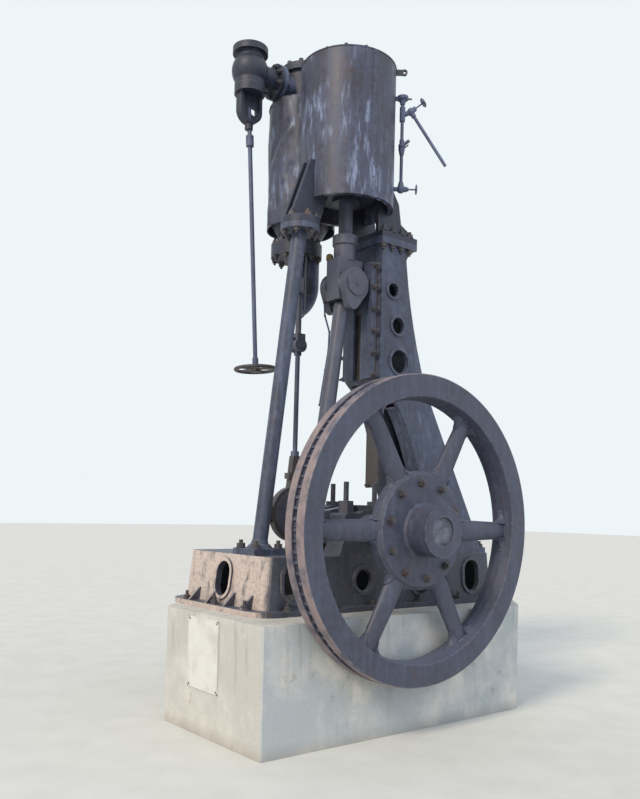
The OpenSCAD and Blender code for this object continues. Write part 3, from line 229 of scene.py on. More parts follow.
def painted_iron(name, paint, faded, rust, bare, fade=0.5, rusty=0.3, worn=0.5, chalk=None, chalky=0.0,
                 end=None, tread=None, rough=0.45, cast=0.002):
    """Old black paint on cast iron or sheet: bleached in clouds, run down by rain, rusty where it has
    lifted and rubbed pale along its edges. To the eye it is a dark blue-grey with a dull shine."""
    material, tree, surface, where = blank_material(name)
    place = where.outputs["Object"]
    # Clouds 400 mm across, mottle of 45 mm and rain runs 40 mm wide
    clouds = patches(tree, place, 2.6, 0.36, 0.66)
    mottle = patches(tree, place, 22.0, 0.35, 0.7)
    runs = patches(tree, place, 1.0, 0.46, 0.66, stretch=(26, 26, 2.0))
    amount = add(tree, "ShaderNodeMath", {0: clouds, 1: runs}, operation="ADD").outputs[0]
    amount = add(tree, "ShaderNodeMath", {0: amount, 1: mottle}, operation="ADD").outputs[0]
    amount = add(tree, "ShaderNodeMath",
                 {0: amount, 1: fade / 2}, operation="MULTIPLY", use_clamp=True).outputs[0]
    tone = add(tree, "ShaderNodeMix", {0: amount, 6: paint, 7: faded}, data_type="RGBA").outputs[2]
    if chalky:
        # Broken drips 50 mm wide
        drips = patches(tree, place, 1.0, 0.49, 0.66, stretch=(19, 19, 4.2), detail=9.0)
        broken = patches(tree, place, 3.2, 0.42, 0.60, stretch=(1, 1, 0.8))
        drips = add(tree, "ShaderNodeMath", {0: drips, 1: broken}, operation="MULTIPLY").outputs[0]
        drips = add(tree, "ShaderNodeMath", {0: drips, 1: chalky}, operation="MULTIPLY").outputs[0]
        tone = add(tree, "ShaderNodeMix", {0: drips, 6: tone, 7: chalk}, data_type="RGBA").outputs[2]
    normal = add(tree, "ShaderNodeSeparateXYZ", {0: where.outputs["Normal"]})
    if end:
        # Painted sunlight and dust in tan on faces towards -X only, broken in spots of 110 mm and grains of
        # 20 mm
        west_dust_and_sunlight = add(tree, "ShaderNodeMapRange",
                   {"Value": normal.outputs[0], "From Min": -0.55, "From Max": -0.9}).outputs[0]
        thin = patches(tree, place, 9.0, 0.24, 0.50, stretch=(1, 1.3, 0.7), detail=9.0)
        grain = patches(tree, place, 48.0, 0.3, 0.62)
        grain = add(tree, "ShaderNodeMapRange", {"Value": grain, "To Min": 0.66}).outputs[0]
        reach = add(tree, "ShaderNodeSeparateXYZ", {0: place}).outputs[0]
        outer = add(tree, "ShaderNodeMapRange",
                    {"Value": reach, "From Min": -1.05, "From Max": -1.15}).outputs[0]
        for part in (thin, grain, outer):
            west_dust_and_sunlight = add(tree, "ShaderNodeMath", {0: west_dust_and_sunlight, 1: part}, operation="MULTIPLY").outputs[0]
        tone = add(tree, "ShaderNodeMix", {0: west_dust_and_sunlight, 6: tone, 7: end}, data_type="RGBA").outputs[2]
    if tread:
        # Rim's outer face, rubbed in patches of 170 mm
        middle_x, middle_z, radius, worn_tone = tread
        offset = add(tree, "ShaderNodeVectorMath",
                     {0: place, 1: (-middle_x, 0, -middle_z)}, operation="ADD").outputs[0]
        offset = add(tree, "ShaderNodeVectorMath", {0: offset, 1: (1, 0, 1)}, operation="MULTIPLY").outputs[0]
        far = add(tree, "ShaderNodeVectorMath", {0: offset}, operation="LENGTH").outputs["Value"]
        outer = add(tree, "ShaderNodeMapRange",
                    {"Value": far, "From Min": radius - 0.008, "From Max": radius - 0.003}).outputs[0]
        rubbed = patches(tree, place, 6.0, 0.30, 0.60, detail=8.0)
        outer = add(tree, "ShaderNodeMath", {0: outer, 1: rubbed}, operation="MULTIPLY").outputs[0]
        tone = add(tree, "ShaderNodeMix", {0: outer, 6: tone, 7: worn_tone}, data_type="RGBA").outputs[2]
    # Rust in spots of up to 110 mm, dust on level faces and bare metal along edges, 7 mm wide
    spots = patches(tree, place, 9.0, 0.60, 0.68, detail=9.0)
    spots = add(tree, "ShaderNodeMath", {0: spots, 1: rusty}, operation="MULTIPLY").outputs[0]
    tone = add(tree, "ShaderNodeMix", {0: spots, 6: tone, 7: rust}, data_type="RGBA").outputs[2]
    level = add(tree, "ShaderNodeMapRange",
                {"Value": normal.outputs[2], "From Min": 0.6, "To Max": 0.45}).outputs[0]
    tone = add(tree, "ShaderNodeMix", {0: level, 6: tone, 7: faded}, data_type="RGBA").outputs[2]
    rounded = add(tree, "ShaderNodeBevel", {"Radius": 0.007}, samples=4)
    flat = add(tree, "ShaderNodeNewGeometry")
    along = add(tree, "ShaderNodeVectorMath",
                {0: rounded.outputs[0], 1: flat.outputs["Normal"]}, operation="DOT_PRODUCT").outputs["Value"]
    edge = add(tree, "ShaderNodeMapRange",
               {"Value": along, "From Min": 0.97, "From Max": 0.80, "To Max": worn}).outputs[0]
    edge = add(tree, "ShaderNodeMath", {0: edge, 1: mottle}, operation="MULTIPLY").outputs[0]
    tone = add(tree, "ShaderNodeMix", {0: edge, 6: tone, 7: bare}, data_type="RGBA").outputs[2]
    tree.links.new(tone, surface.inputs["Base Color"])
    shine = add(tree, "ShaderNodeMapRange", {"Value": amount, "To Min": rough, "To Max": rough + 0.25})
    tree.links.new(shine.outputs[0], surface.inputs["Roughness"])
    # Skin of the casting: swells of 110 mm, lumps of 17 mm and sand of 4 mm
    dents(tree, surface, place, (9.0, 60.0, 240.0), cast)
    return material


def bare_metal(name, base, dirt, metallic, rough, cut=0.0):
    """Machined steel or brass left out in the weather: dull, oiled and dirty in clouds of 90 mm. A cut face
    has the saw's diagonal marks, drawn 18 mm apart so that they show."""
    material, tree, surface, where = blank_material(name)
    place = where.outputs["Object"]
    clouds = patches(tree, place, 11.0, 0.35, 0.68)
    tone = add(tree, "ShaderNodeMix", {0: clouds, 6: base, 7: dirt}, data_type="RGBA").outputs[2]
    if cut:
        turned = add(tree, "ShaderNodeMapping", {"Vector": place, "Rotation": (0, math.radians(-42), 0)})
        marks = add(tree, "ShaderNodeTexWave",
                    {"Vector": turned.outputs[0], "Scale": 17.0, "Distortion": 3.0, "Detail": 3.0},
                    wave_type="BANDS", bands_direction="Z").outputs["Fac"]
        marks = add(tree, "ShaderNodeMapRange",
                    {"Value": marks, "From Min": 0.55, "From Max": 0.9, "To Max": cut}).outputs[0]
        tone = add(tree, "ShaderNodeMix", {0: marks, 6: tone, 7: dirt}, data_type="RGBA").outputs[2]
    tree.links.new(tone, surface.inputs["Base Color"])
    surface.inputs["Metallic"].default_value = metallic
    surface.inputs["Roughness"].default_value = rough
    dents(tree, surface, place, (30.0, 180.0), 0.0012)
    return material


def weathered_concrete(name, base, stain, pale, cool):
    """Board-cast concrete left outside: pale and sandy in clouds of 400 mm, with brown stains of 180 mm,
    rain runs 70 mm wide from its top edge, a cooler tone on the shaded side and a grit, drawn 8 mm coarse
    so that it shows."""
    material, tree, surface, where = blank_material(name)
    place = where.outputs["Object"]
    normal = add(tree, "ShaderNodeSeparateXYZ", {0: where.outputs["Normal"]})
    shade = add(tree, "ShaderNodeMapRange",
                {"Value": normal.outputs[1], "From Min": -0.3, "From Max": -0.9, "To Max": 0.85}).outputs[0]
    tone = add(tree, "ShaderNodeMix", {0: shade, 6: base, 7: cool}, data_type="RGBA").outputs[2]
    clouds = patches(tree, place, 2.4, 0.40, 0.72, detail=8.0)
    tone = add(tree, "ShaderNodeMix", {0: clouds, 6: tone, 7: pale}, data_type="RGBA").outputs[2]
    runs = patches(tree, place, 1.0, 0.52, 0.72, stretch=(15, 15, 1.1), detail=7.0)
    height = add(tree, "ShaderNodeSeparateXYZ", {0: place}).outputs[2]
    top = add(tree, "ShaderNodeMapRange",
              {"Value": height, "From Min": 0.25, "From Max": 0.85, "To Min": 0.15, "To Max": 0.6}).outputs[0]
    runs = add(tree, "ShaderNodeMath", {0: runs, 1: top}, operation="MULTIPLY").outputs[0]
    tone = add(tree, "ShaderNodeMix", {0: runs, 6: tone, 7: stain}, data_type="RGBA").outputs[2]
    spots = patches(tree, place, 5.5, 0.62, 0.74, detail=9.0)
    foot = add(tree, "ShaderNodeMapRange",
               {"Value": height, "From Min": 0.10, "From Max": 0.0, "To Max": 0.45}).outputs[0]
    spots = add(tree, "ShaderNodeMath", {0: spots, 1: 0.55}, operation="MULTIPLY").outputs[0]
    spots = add(tree, "ShaderNodeMath", {0: spots, 1: foot}, operation="MAXIMUM").outputs[0]
    tone = add(tree, "ShaderNodeMix", {0: spots, 6: tone, 7: stain}, data_type="RGBA").outputs[2]
    grit = patches(tree, place, 130.0, 0.35, 0.75, detail=2.0)
    grit = add(tree, "ShaderNodeMath", {0: grit, 1: 0.22}, operation="MULTIPLY").outputs[0]
    tone = add(tree, "ShaderNodeMix", {0: grit, 6: tone, 7: stain}, data_type="RGBA").outputs[2]
    tree.links.new(tone, surface.inputs["Base Color"])
    surface.inputs["Roughness"].default_value = 0.93
    dents(tree, surface, place, (3.0, 26.0, 150.0), 0.006)
    return material


def faded_enamel(name, base, dirt):
    """Enamelled steel plate, bleached and clouded with dirt over 200 mm: a bare, pale field."""
    material, tree, surface, where = blank_material(name)
    place = where.outputs["Object"]
    clouds = patches(tree, place, 5.0, 0.45, 0.75)
    clouds = add(tree, "ShaderNodeMath", {0: clouds, 1: 0.35}, operation="MULTIPLY").outputs[0]
    tone = add(tree, "ShaderNodeMix", {0: clouds, 6: base, 7: dirt}, data_type="RGBA").outputs[2]
    tree.links.new(tone, surface.inputs["Base Color"])
    surface.inputs["Roughness"].default_value = 0.55
    dents(tree, surface, place, (14.0,), 0.002)
    return material


def make_materials(look):
    """Every finish, by the name of the record's slot that it belongs to, and one for the sawn shaft."""
    hub, wheel_r = round_box("flywheel")[2:]
    chalk, stain = look.chalk[:], look.stain[:]

    def iron(name, tone, bare=look.bare[:], **wear):
        return painted_iron(name, getattr(look, tone)[:], getattr(look, tone + "_faded")[:], look.rust[:],
                            bare, **wear)

    return {
        "concrete": weathered_concrete("board_cast_concrete", look.concrete[:], stain,
                                       look.concrete_pale[:], look.concrete_cool[:]),
        "notice_enamel": faded_enamel("faded_enamel_plate", look.enamel[:], stain),
        # The bed's end towards -X is tinted tan: painted sunlight as well as dust
        "bed_paint": iron("bed_paint_on_cast_iron", "bed", fade=0.45, rusty=0.45, worn=0.7,
                          end=look.tan[:], cast=0.003),
        "wheel_paint": iron("wheel_paint_on_cast_iron", "wheel", look.wheel_bare[:], fade=0.5, rusty=0.25,
                            worn=0.9, cast=0.0025, tread=(hub.x, hub.z, wheel_r, look.tread[:])),
        "frame_paint": iron("frame_paint_on_cast_iron", "column", fade=0.55, rusty=0.25, worn=0.6,
                            chalk=chalk, chalky=0.25, cast=0.003),
        "running_steel": iron("oily_paint_on_steel", "rod", fade=0.5, rusty=0.3, worn=0.5, rough=0.4,
                              cast=0.001),
        "bearing_brass": bare_metal("dull_brass", look.brass[:], look.brass_dirt[:], 0.6, 0.5),
        "jacket_sheet": iron("jacket_paint_on_sheet_steel", "jacket", fade=0.55, rusty=0.2, worn=0.3,
                             chalk=chalk, chalky=0.85, rough=0.4, cast=0.002),
        "cast_paint": iron("fitting_paint_on_cast_iron", "fitting", fade=0.45, rusty=0.35, worn=0.45,
                           cast=0.003),
        "guide_iron": iron("rusty_guide_iron", "guide", fade=0.5, rusty=0.7, worn=0.4, cast=0.002),
        "pipe_paint": iron("paint_on_pipe", "pipe", fade=0.5, rusty=0.2, worn=0.2, cast=0.0006),
        "bolt_iron": iron("rusty_bolt_iron", "bolt", fade=0.45, rusty=0.7, worn=0.4, cast=0.0008),
        "saw_cut": bare_metal("saw_cut_steel", look.cut_face[:], look.cut_dirt[:], 0.2, 0.5, cut=0.8),
    }


def build(name, points, faces, finish, slot=None, smooth=False, thick=0.0):
    """A mesh piece at the origin, normals outward, riding on the engine."""
    mesh = bpy.data.meshes.new(name)
    mesh.from_pydata([tuple(p) for p in points], [], faces)
    shape = bmesh.new()
    shape.from_mesh(mesh)
    bmesh.ops.remove_doubles(shape, verts=shape.verts, dist=1e-6)
    bmesh.ops.recalc_face_normals(shape, faces=shape.faces)
    shape.to_mesh(mesh)
    shape.free()
    mesh.materials.append(MATERIALS[finish])
    for polygon in mesh.polygons:
        polygon.use_smooth = smooth
    piece = bpy.data.objects.new(name, mesh)
    bpy.context.scene.collection.objects.link(piece)
    if thick:
        wall = piece.modifiers.new("thickness", "SOLIDIFY")
        wall.thickness = thick
        wall.offset = 0
    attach(piece, BODY)
    return piece


def grid(rows, columns, closed=False, ringed=False):
    """Faces over rows of points. A closed one joins the ends of each row, and a ringed one also its last
    row to its first."""
    faces = []
    for j in range(rows if ringed else rows - 1):
        here, after = j * columns, (j + 1) % rows * columns
        for i in range(columns if closed else columns - 1):
            k = (i + 1) % columns
            faces.append([here + i, here + k, after + k, after + i])
    return faces


def prism(outline, low, high, axes):
    """Points and faces of a flat outline drawn out between two depths along the third axis."""
    right, up, out = axes
    count = len(outline)
    points = [right * a + up * b + out * d for d in (low, high) for a, b in outline]
    ends = [list(range(count)), list(range(2 * count - 1, count - 1, -1))]
    return points, ends + grid(2, count, closed=True)


def joined(shapes):
    """Several (points, faces) shapes as one."""
    points, faces = [], []
    for more_points, more_faces in shapes:
        start = len(points)
        points += more_points
        faces += [[start + i for i in face] for face in more_faces]
    return points, faces


def repeat(tree, points, shape, angle, material):
    """Last nodes of a tree: a shape on every point, turned about Z, as one real mesh in its material."""
    angles = add(tree, "ShaderNodeCombineXYZ", {2: angle})
    placed = add(tree, "GeometryNodeInstanceOnPoints",
                 {"Points": points, "Instance": shape, "Rotation": angles.outputs[0]})
    real = add(tree, "GeometryNodeRealizeInstances", {0: placed.outputs[0]})
    done = add(tree, "GeometryNodeSetMaterial", {"Geometry": real.outputs[0], "Material": material})
    add(tree, "NodeGroupOutput", {0: done.outputs[0]})


def new_tree(name, sockets):
    """Geometry-nodes tree with named inputs beside its points: the tree and what its inputs give."""
    tree = bpy.data.node_groups.new(name, "GeometryNodeTree")
    tree.interface.new_socket("Geometry", in_out="OUTPUT", socket_type="NodeSocketGeometry")
    for label, kind in (("Geometry", "Geometry"),) + sockets:
        tree.interface.new_socket(label, in_out="INPUT", socket_type="NodeSocket" + kind)
    return tree, add(tree, "NodeGroupInput").outputs


def fastener_tree(material):
    """Geometry nodes: a hexagon nut on its washer, with a stud, on every point, turned at random."""
    tree, given = new_tree("nuts_on_points", (("Nut Width", "Float"), ("Nut Height", "Float"),
                                              ("Stud Diameter", "Float"), ("Stud Height", "Float"),
                                              ("Seed", "Int")))
    parts = []
    for sides, across, wide, along, high in ((6, "Nut Width", 1.0, "Nut Height", 1.0),
                                             (16, "Nut Width", 1.18, "Nut Height", 0.22),
                                             (12, "Stud Diameter", 1.0, "Stud Height", 1.0)):
        radius = add(tree, "ShaderNodeMath", {0: given[across], 1: wide / 2}, operation="MULTIPLY")
        depth = add(tree, "ShaderNodeMath", {0: given[along], 1: high}, operation="MULTIPLY")
        lift = add(tree, "ShaderNodeMath", {0: depth.outputs[0], 1: 0.5}, operation="MULTIPLY")
        body = add(tree, "GeometryNodeMeshCylinder",
                   {"Vertices": sides, "Radius": radius.outputs[0], "Depth": depth.outputs[0]})
        move = add(tree, "ShaderNodeCombineXYZ", {2: lift.outputs[0]})
        parts.append(add(tree, "GeometryNodeTransform",
                         {"Geometry": body.outputs[0], "Translation": move.outputs[0]}).outputs[0])
    whole = add(tree, "GeometryNodeJoinGeometry")
    for part in parts:
        tree.links.new(part, whole.inputs[0])
    flat = add(tree, "GeometryNodeSetShadeSmooth", {"Geometry": whole.outputs[0], "Shade Smooth": False})
    turn = add(tree, "FunctionNodeRandomValue", {"Seed": given["Seed"]}, data_type="FLOAT")
    angle = add(tree, "ShaderNodeMath", {0: turn.outputs[1], 1: math.pi / 3}, operation="MULTIPLY")
    repeat(tree, given["Geometry"], flat.outputs[0], angle.outputs[0], material)
    return tree


def block_ring_tree(material):
    """Geometry nodes: a ring of like blocks about Z, each turned to the ring's middle."""
    tree, given = new_tree("blocks_in_a_ring", (("Count", "Int"), ("Radius", "Float"), ("Size", "Vector")))
    circle = add(tree, "GeometryNodeMeshCircle", {"Vertices": given["Count"], "Radius": given["Radius"]})
    block = add(tree, "GeometryNodeMeshCube", {"Size": given["Size"]})
    index = add(tree, "GeometryNodeInputIndex")
    step = add(tree, "ShaderNodeMath", {0: math.tau, 1: given["Count"]}, operation="DIVIDE")
    angle = add(tree, "ShaderNodeMath", {0: step.outputs[0], 1: index.outputs[0]}, operation="MULTIPLY")
    repeat(tree, circle.outputs[0], block.outputs[0], angle.outputs[0], material)
    return tree


def realised(name, tree, values, points, place, finish):
    """Runs a geometry-nodes tree on loose points and keeps the result as a plain mesh at its place."""
    seeds = bpy.data.meshes.new(name + "_points")
    seeds.from_pydata([tuple(p) for p in points], [], [])
    maker = bpy.data.objects.new(name + "_maker", seeds)
    bpy.context.scene.collection.objects.link(maker)
    modifier = maker.modifiers.new("nodes", "NODES")
    modifier.node_group = tree
    for item in tree.interface.items_tree:
        if item.in_out == "INPUT" and item.name in values:
            modifier[item.identifier] = values[item.name]
    graph = bpy.context.evaluated_depsgraph_get()
    graph.update()
    mesh = bpy.data.meshes.new_from_object(maker.evaluated_get(graph))
    bpy.data.objects.remove(maker)
    mesh.transform(place)
    mesh.name = name
    if not mesh.materials:
        mesh.materials.append(MATERIALS[finish])
    piece = bpy.data.objects.new(name, mesh)
    bpy.context.scene.collection.objects.link(piece)
    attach(piece, BODY)


def facing(origin, out):
    """Matrix that stands +Z along a direction at a point, with +X level."""
    right = EAST if abs(out.z) > 0.9 else UP.cross(out)
    return Matrix.Translation(origin) @ Matrix((right, out.cross(right), out)).transposed().to_4x4()


def ring(count, radius, start=0.0):
    """Points of a bolt circle."""
    turns = [start + math.tau * i / count for i in range(count)]
    return [(radius * math.cos(a), radius * math.sin(a), 0) for a in turns]


def corners(half_wide, half_tall):
    """Points at the corners of a rectangle."""
    return [(a * half_wide, b * half_tall, 0) for a in (-1, 1) for b in (-1, 1)]


def nuts(name, points, origin, out, scale=1.0, stud=1.0):
    """Nuts on points of a plane that faces a direction. The scale is against the common nut."""
    sizes = bpy.context.scene.engine_sizes
    high = sizes.nut_high * scale
    fasteners(name, points, origin, out, sizes.nut_wid * scale, high, sizes.stud_dia * scale,
              high * (1 + 0.7 * stud), 7)


def fasteners(name, points, origin, out, wid, high, stud_dia, stud_high, seed):
    """Nuts, bolts or screws of any size on points of a plane that faces a direction."""
    values = {"Nut Width": wid, "Nut Height": high, "Stud Diameter": stud_dia, "Stud Height": stud_high,
              "Seed": seed}
    realised(name, TREES["fasteners"], values, points, facing(origin, out), "bolt_iron")


class ENGINE_OT_stage(Operator):
    """Pale floor, soft daylight and the camera at the photograph's viewpoint"""
    bl_idname = "engine.stage"
    bl_label = "Stage"

    def execute(self, context):
        scene = context.scene
        scene.view_settings.view_transform = "Standard"
        self.sky(scene)
        self.floor(scene)
        self.sun(scene)
        self.camera(scene)
        return {"FINISHED"}

    def sky(self, scene):
        """Even light from all round, and the pale background that the eye sees."""
        world = bpy.data.worlds.new("overcast_sky")
        scene.world = world
        world.use_nodes = True
        tree = world.node_tree
        tree.nodes.clear()
        light = add(tree, "ShaderNodeBackground", {"Color": colour("#e6edf7"), "Strength": 0.78})
        seen = add(tree, "ShaderNodeBackground", {"Color": colour("#eef5f9"), "Strength": 1.0})
        rays = add(tree, "ShaderNodeLightPath")
        plain = add(tree, "ShaderNodeMath",
                    {0: rays.outputs["Is Camera Ray"], 1: rays.outputs["Is Glossy Ray"]}, operation="MAXIMUM")
        both = add(tree, "ShaderNodeMixShader",
                   {0: plain.outputs[0], 1: light.outputs[0], 2: seen.outputs[0]})
        add(tree, "ShaderNodeOutputWorld", {"Surface": both.outputs[0]})

    def floor(self, scene):
        """Pale floor, wide enough to reach the horizon."""
        half = 60.0
        mesh = bpy.data.meshes.new("floor")
        mesh.from_pydata([(-half, -half, 0), (half, -half, 0), (half, half, 0), (-half, half, 0)], [],
                         [(0, 1, 2, 3)])
        material, tree, surface, where = blank_material("pale_floor")
        grain = patches(tree, where.outputs["Object"], 3.0, 0.3, 0.7)
        tone = add(tree, "ShaderNodeMix",
                   {0: grain, 6: colour("#cfd0cb"), 7: colour("#d6d7d2")}, data_type="RGBA")
        tree.links.new(tone.outputs[2], surface.inputs["Base Color"])
        surface.inputs["Roughness"].default_value = 0.9
        mesh.materials.append(material)
        floor = bpy.data.objects.new("floor", mesh)
        scene.collection.objects.link(floor)

    def sun(self, scene):
        """Warm, hazy sunlight on the bed's end and a weak, cool fill on the wheel's side."""
        for name, power, tint, turn, soft in (("low_sun", 2.1, "#fff0dc", (52, 0, -72), 14),
                                              ("fill_light", 0.5, "#dfe9ff", (58, 0, 20), 60)):
            lamp = bpy.data.lights.new(name, "SUN")
            lamp.energy = power
            lamp.color = colour(tint)[:3]
            lamp.angle = math.radians(soft)
            piece = bpy.data.objects.new(name, lamp)
            piece.rotation_euler = [math.radians(a) for a in turn]
            scene.collection.objects.link(piece)

    def camera(self, scene):
        """The photograph's viewpoint: 1.60 m above the ground, level, turned a little about its own axis."""
        eye = (-4.400, -5.020, 1.600)
        photo_high = 799
        focal_px = 815.5
        centre_drop_px = 108.5
        yaw, pitch, roll = math.radians(51.3), math.radians(0.12), math.radians(1.33)
        lens = bpy.data.cameras.new("viewpoint")
        lens.sensor_width = 36
        lens.lens = focal_px / photo_high * lens.sensor_width
        lens.shift_y = centre_drop_px / photo_high
        lens.clip_end = 300
        ahead = Vector((math.cos(yaw) * math.cos(pitch), math.sin(yaw) * math.cos(pitch), math.sin(pitch)))
        right = ahead.cross(UP).normalized()
        up = right.cross(ahead)
        turned = right * math.cos(roll) + up * math.sin(roll)
        up = up * math.cos(roll) - right * math.sin(roll)
        basis = Matrix((turned, up, -ahead)).transposed()
        camera = bpy.data.objects.new("viewpoint", lens)
        camera.matrix_world = Matrix.Translation(eye) @ basis.to_4x4()
        scene.collection.objects.link(camera)
        scene.camera = camera


class ENGINE_OT_finishes(Operator):
    """Materials of every solid, by the record's slots"""
    bl_idname = "engine.finishes"
    bl_label = "Finishes"

    def execute(self, context):
        MATERIALS.update(make_materials(context.scene.engine_colours))
        TREES["fasteners"] = fastener_tree(MATERIALS["bolt_iron"])
        TREES["blocks"] = block_ring_tree(MATERIALS["wheel_paint"])
        for part in frame["record"]["subparts"]:
            mesh = frame["nodes"][part["node"]].data
            mesh.materials.clear()
            mesh.materials.append(MATERIALS[part["material_slot"]])
        return {"FINISHED"}


class ENGINE_OT_sheets(Operator):
    """Crumpled lagging sheet of the chest, and the seam strips and bead of the cylinder's jacket"""
    bl_idname = "engine.sheets"
    bl_label = "Lagging sheets"

    def execute(self, context):
        sizes = context.scene.engine_sizes
        axis, radius = round_box("cylinder_jacket")[2:]
        clearance = 0.004
        self.cylinder = axis, radius + clearance
        low, high, centre, radius = round_box("chest_jacket")
        centre.y = high.y - radius
        front = self.panel("chest_sheet_front", sizes, centre, radius, 172, 239.5, 50, True)
        self.panel("chest_sheet_back", sizes, centre, radius, -59.5, 176, 150, False)
        self.chest_cap(sizes, centre, radius)
        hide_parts("chest_jacket")
        self.seam_strips()
        self.bead()
        return {"FINISHED"}

    def clear_of_cylinder(self, centre, angle, reach):
        """Reach about the chest's axis, cut back where the cylinder's jacket stands."""
        axis, jacket = self.cylinder
        out = Vector((math.cos(angle), math.sin(angle)))
        gap = Vector((centre.x - axis.x, centre.y - axis.y))
        half = gap.dot(out)
        room = half * half - gap.length_squared + jacket * jacket
        if room < 0:
            return reach
        near = -half - math.sqrt(room)
        return min(reach, near) if near > 0 else reach

    def bulge(self, crumple, radius, angle, z):
        """How far the sheet stands out of round at a spot: soft dents and a few long folds."""
        spot = Vector((angle * 1.3, z * 2.2, 3.1))
        rough = noise.noise(spot) + 0.5 * noise.noise(spot * 2.3) + 0.2 * noise.noise(spot * 6.1)
        deep = crumple * 0.8 * rough
        spot = Vector((angle * radius, z))
        for sign, first, last, wide in FOLDS:
            start = Vector((math.radians(first[0]) * radius, first[1]))
            along = Vector((math.radians(last[0]) * radius, last[1])) - start
            share = max(0.0, min(1.0, (spot - start).dot(along) / along.length_squared))
            away = (spot - (start + along * share)).length
            deep += sign * crumple * math.exp(-(away / wide) ** 2)
        return deep

    def panel(self, name, sizes, centre, radius, start, stop, columns, lifted):
        """Sheet of the chest's jacket between two angles in degrees. A lifted one has come loose at its
        first edge, most of all low down, and the other lies under it."""
        start, stop = math.radians(start), math.radians(stop)
        low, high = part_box("chest_jacket")
        rows = 64
        loose_turn, loose_high, loose_fade = 0.22, 0.42, 0.3
        lift, low_lift, tuck = 0.006, 0.022, 0.006
        points = []
        for j in range(rows + 1):
            z = low.z + (high.z - low.z) * j / rows
            for i in range(columns + 1):
                angle = start + (stop - start) * i / columns
                reach = radius + self.bulge(sizes.crumple, radius, angle, z)
                if lifted:
                    free = max(0.0, 1 - (angle - start) / loose_turn)
                    slack = max(0.0, min(1.0, (low.z + loose_high - z) / loose_fade))
                    reach += free * free * (lift + low_lift * slack)
                else:
                    reach -= tuck
                points.append(polar(centre, self.clear_of_cylinder(centre, angle, reach), angle, z))
        return build(name, points, grid(rows + 1, columns + 1), "jacket_sheet", smooth=True,
                     thick=sizes.sheet)

    def chest_cap(self, sizes, centre, radius):
        """Flat ring of sheet between the bonnet and the chest's sheet, turned down at its edge."""
        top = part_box("chest_jacket")[1].z
        inner = round_box("chest_bonnet")[3] - 0.030
        count = 96
        levels = ((inner, 0.0), (radius - 0.010, 0.0), (radius - 0.002, -0.003), (radius + 0.001, -0.020))
        points = []
        for reach, drop in levels:
            for i in range(count):
                angle = math.tau * i / count
                points.append(polar(centre, self.clear_of_cylinder(centre, angle, reach), angle, top + drop))
        build("chest_cap", points, grid(len(levels), count, closed=True), "jacket_sheet", thick=sizes.sheet)

    def seam_strips(self):
        """Upright strips over the jacket's two seams, with their screws."""
        low, high, axis, radius = round_box("cylinder_jacket")
        strip_wid, strip_thick, strip_inset = 0.036, 0.004, 0.012
        screw_count, screw_inset = 11, 0.04
        sunk = 0.001
        steps = 6
        shapes = []
        for turn in (-98, 22):
            angle = math.radians(turn)
            foot, top = low.z + strip_inset, high.z - strip_inset
            section = ((-sunk, foot), (strip_thick, foot), (strip_thick, top), (-sunk, top))
            points = [polar(axis, radius + depth, angle + strip_wid / radius * (i / steps - 0.5), z)
                      for i in range(steps + 1) for depth, z in section]
            ends = [[start + k for k in range(4)] for start in (0, 4 * steps)]
            shapes.append((points, grid(steps + 1, 4, closed=True) + ends))
            span = high.z - low.z - 2 * screw_inset
            spots = [(0, screw_inset + span * i / (screw_count - 1), 0) for i in range(screw_count)]
            fasteners(f"seam_screws_{turn % 360}", spots, polar(axis, radius + strip_thick, angle, low.z),
                      Vector((math.cos(angle), math.sin(angle), 0)), *SEAM_SCREW)
        build("jacket_seam_strips", *joined(shapes), "jacket_sheet")

    def bead(self):
        """Rolled bead round the jacket, just below its top edge."""
        low, high, axis, radius = round_box("cylinder_jacket")
        around, sides, half, drop, sunk = 128, 8, 0.006, 0.012, 0.001
        points = []
        for i in range(around):
            for k in range(sides):
                turn = math.tau * k / sides
                points.append(polar(axis, radius - sunk + half * math.cos(turn), math.tau * i / around,
                                    high.z - drop + half * math.sin(turn)))
        build("jacket_bead", points, grid(around, sides, closed=True, ringed=True), "jacket_sheet",
              smooth=True)


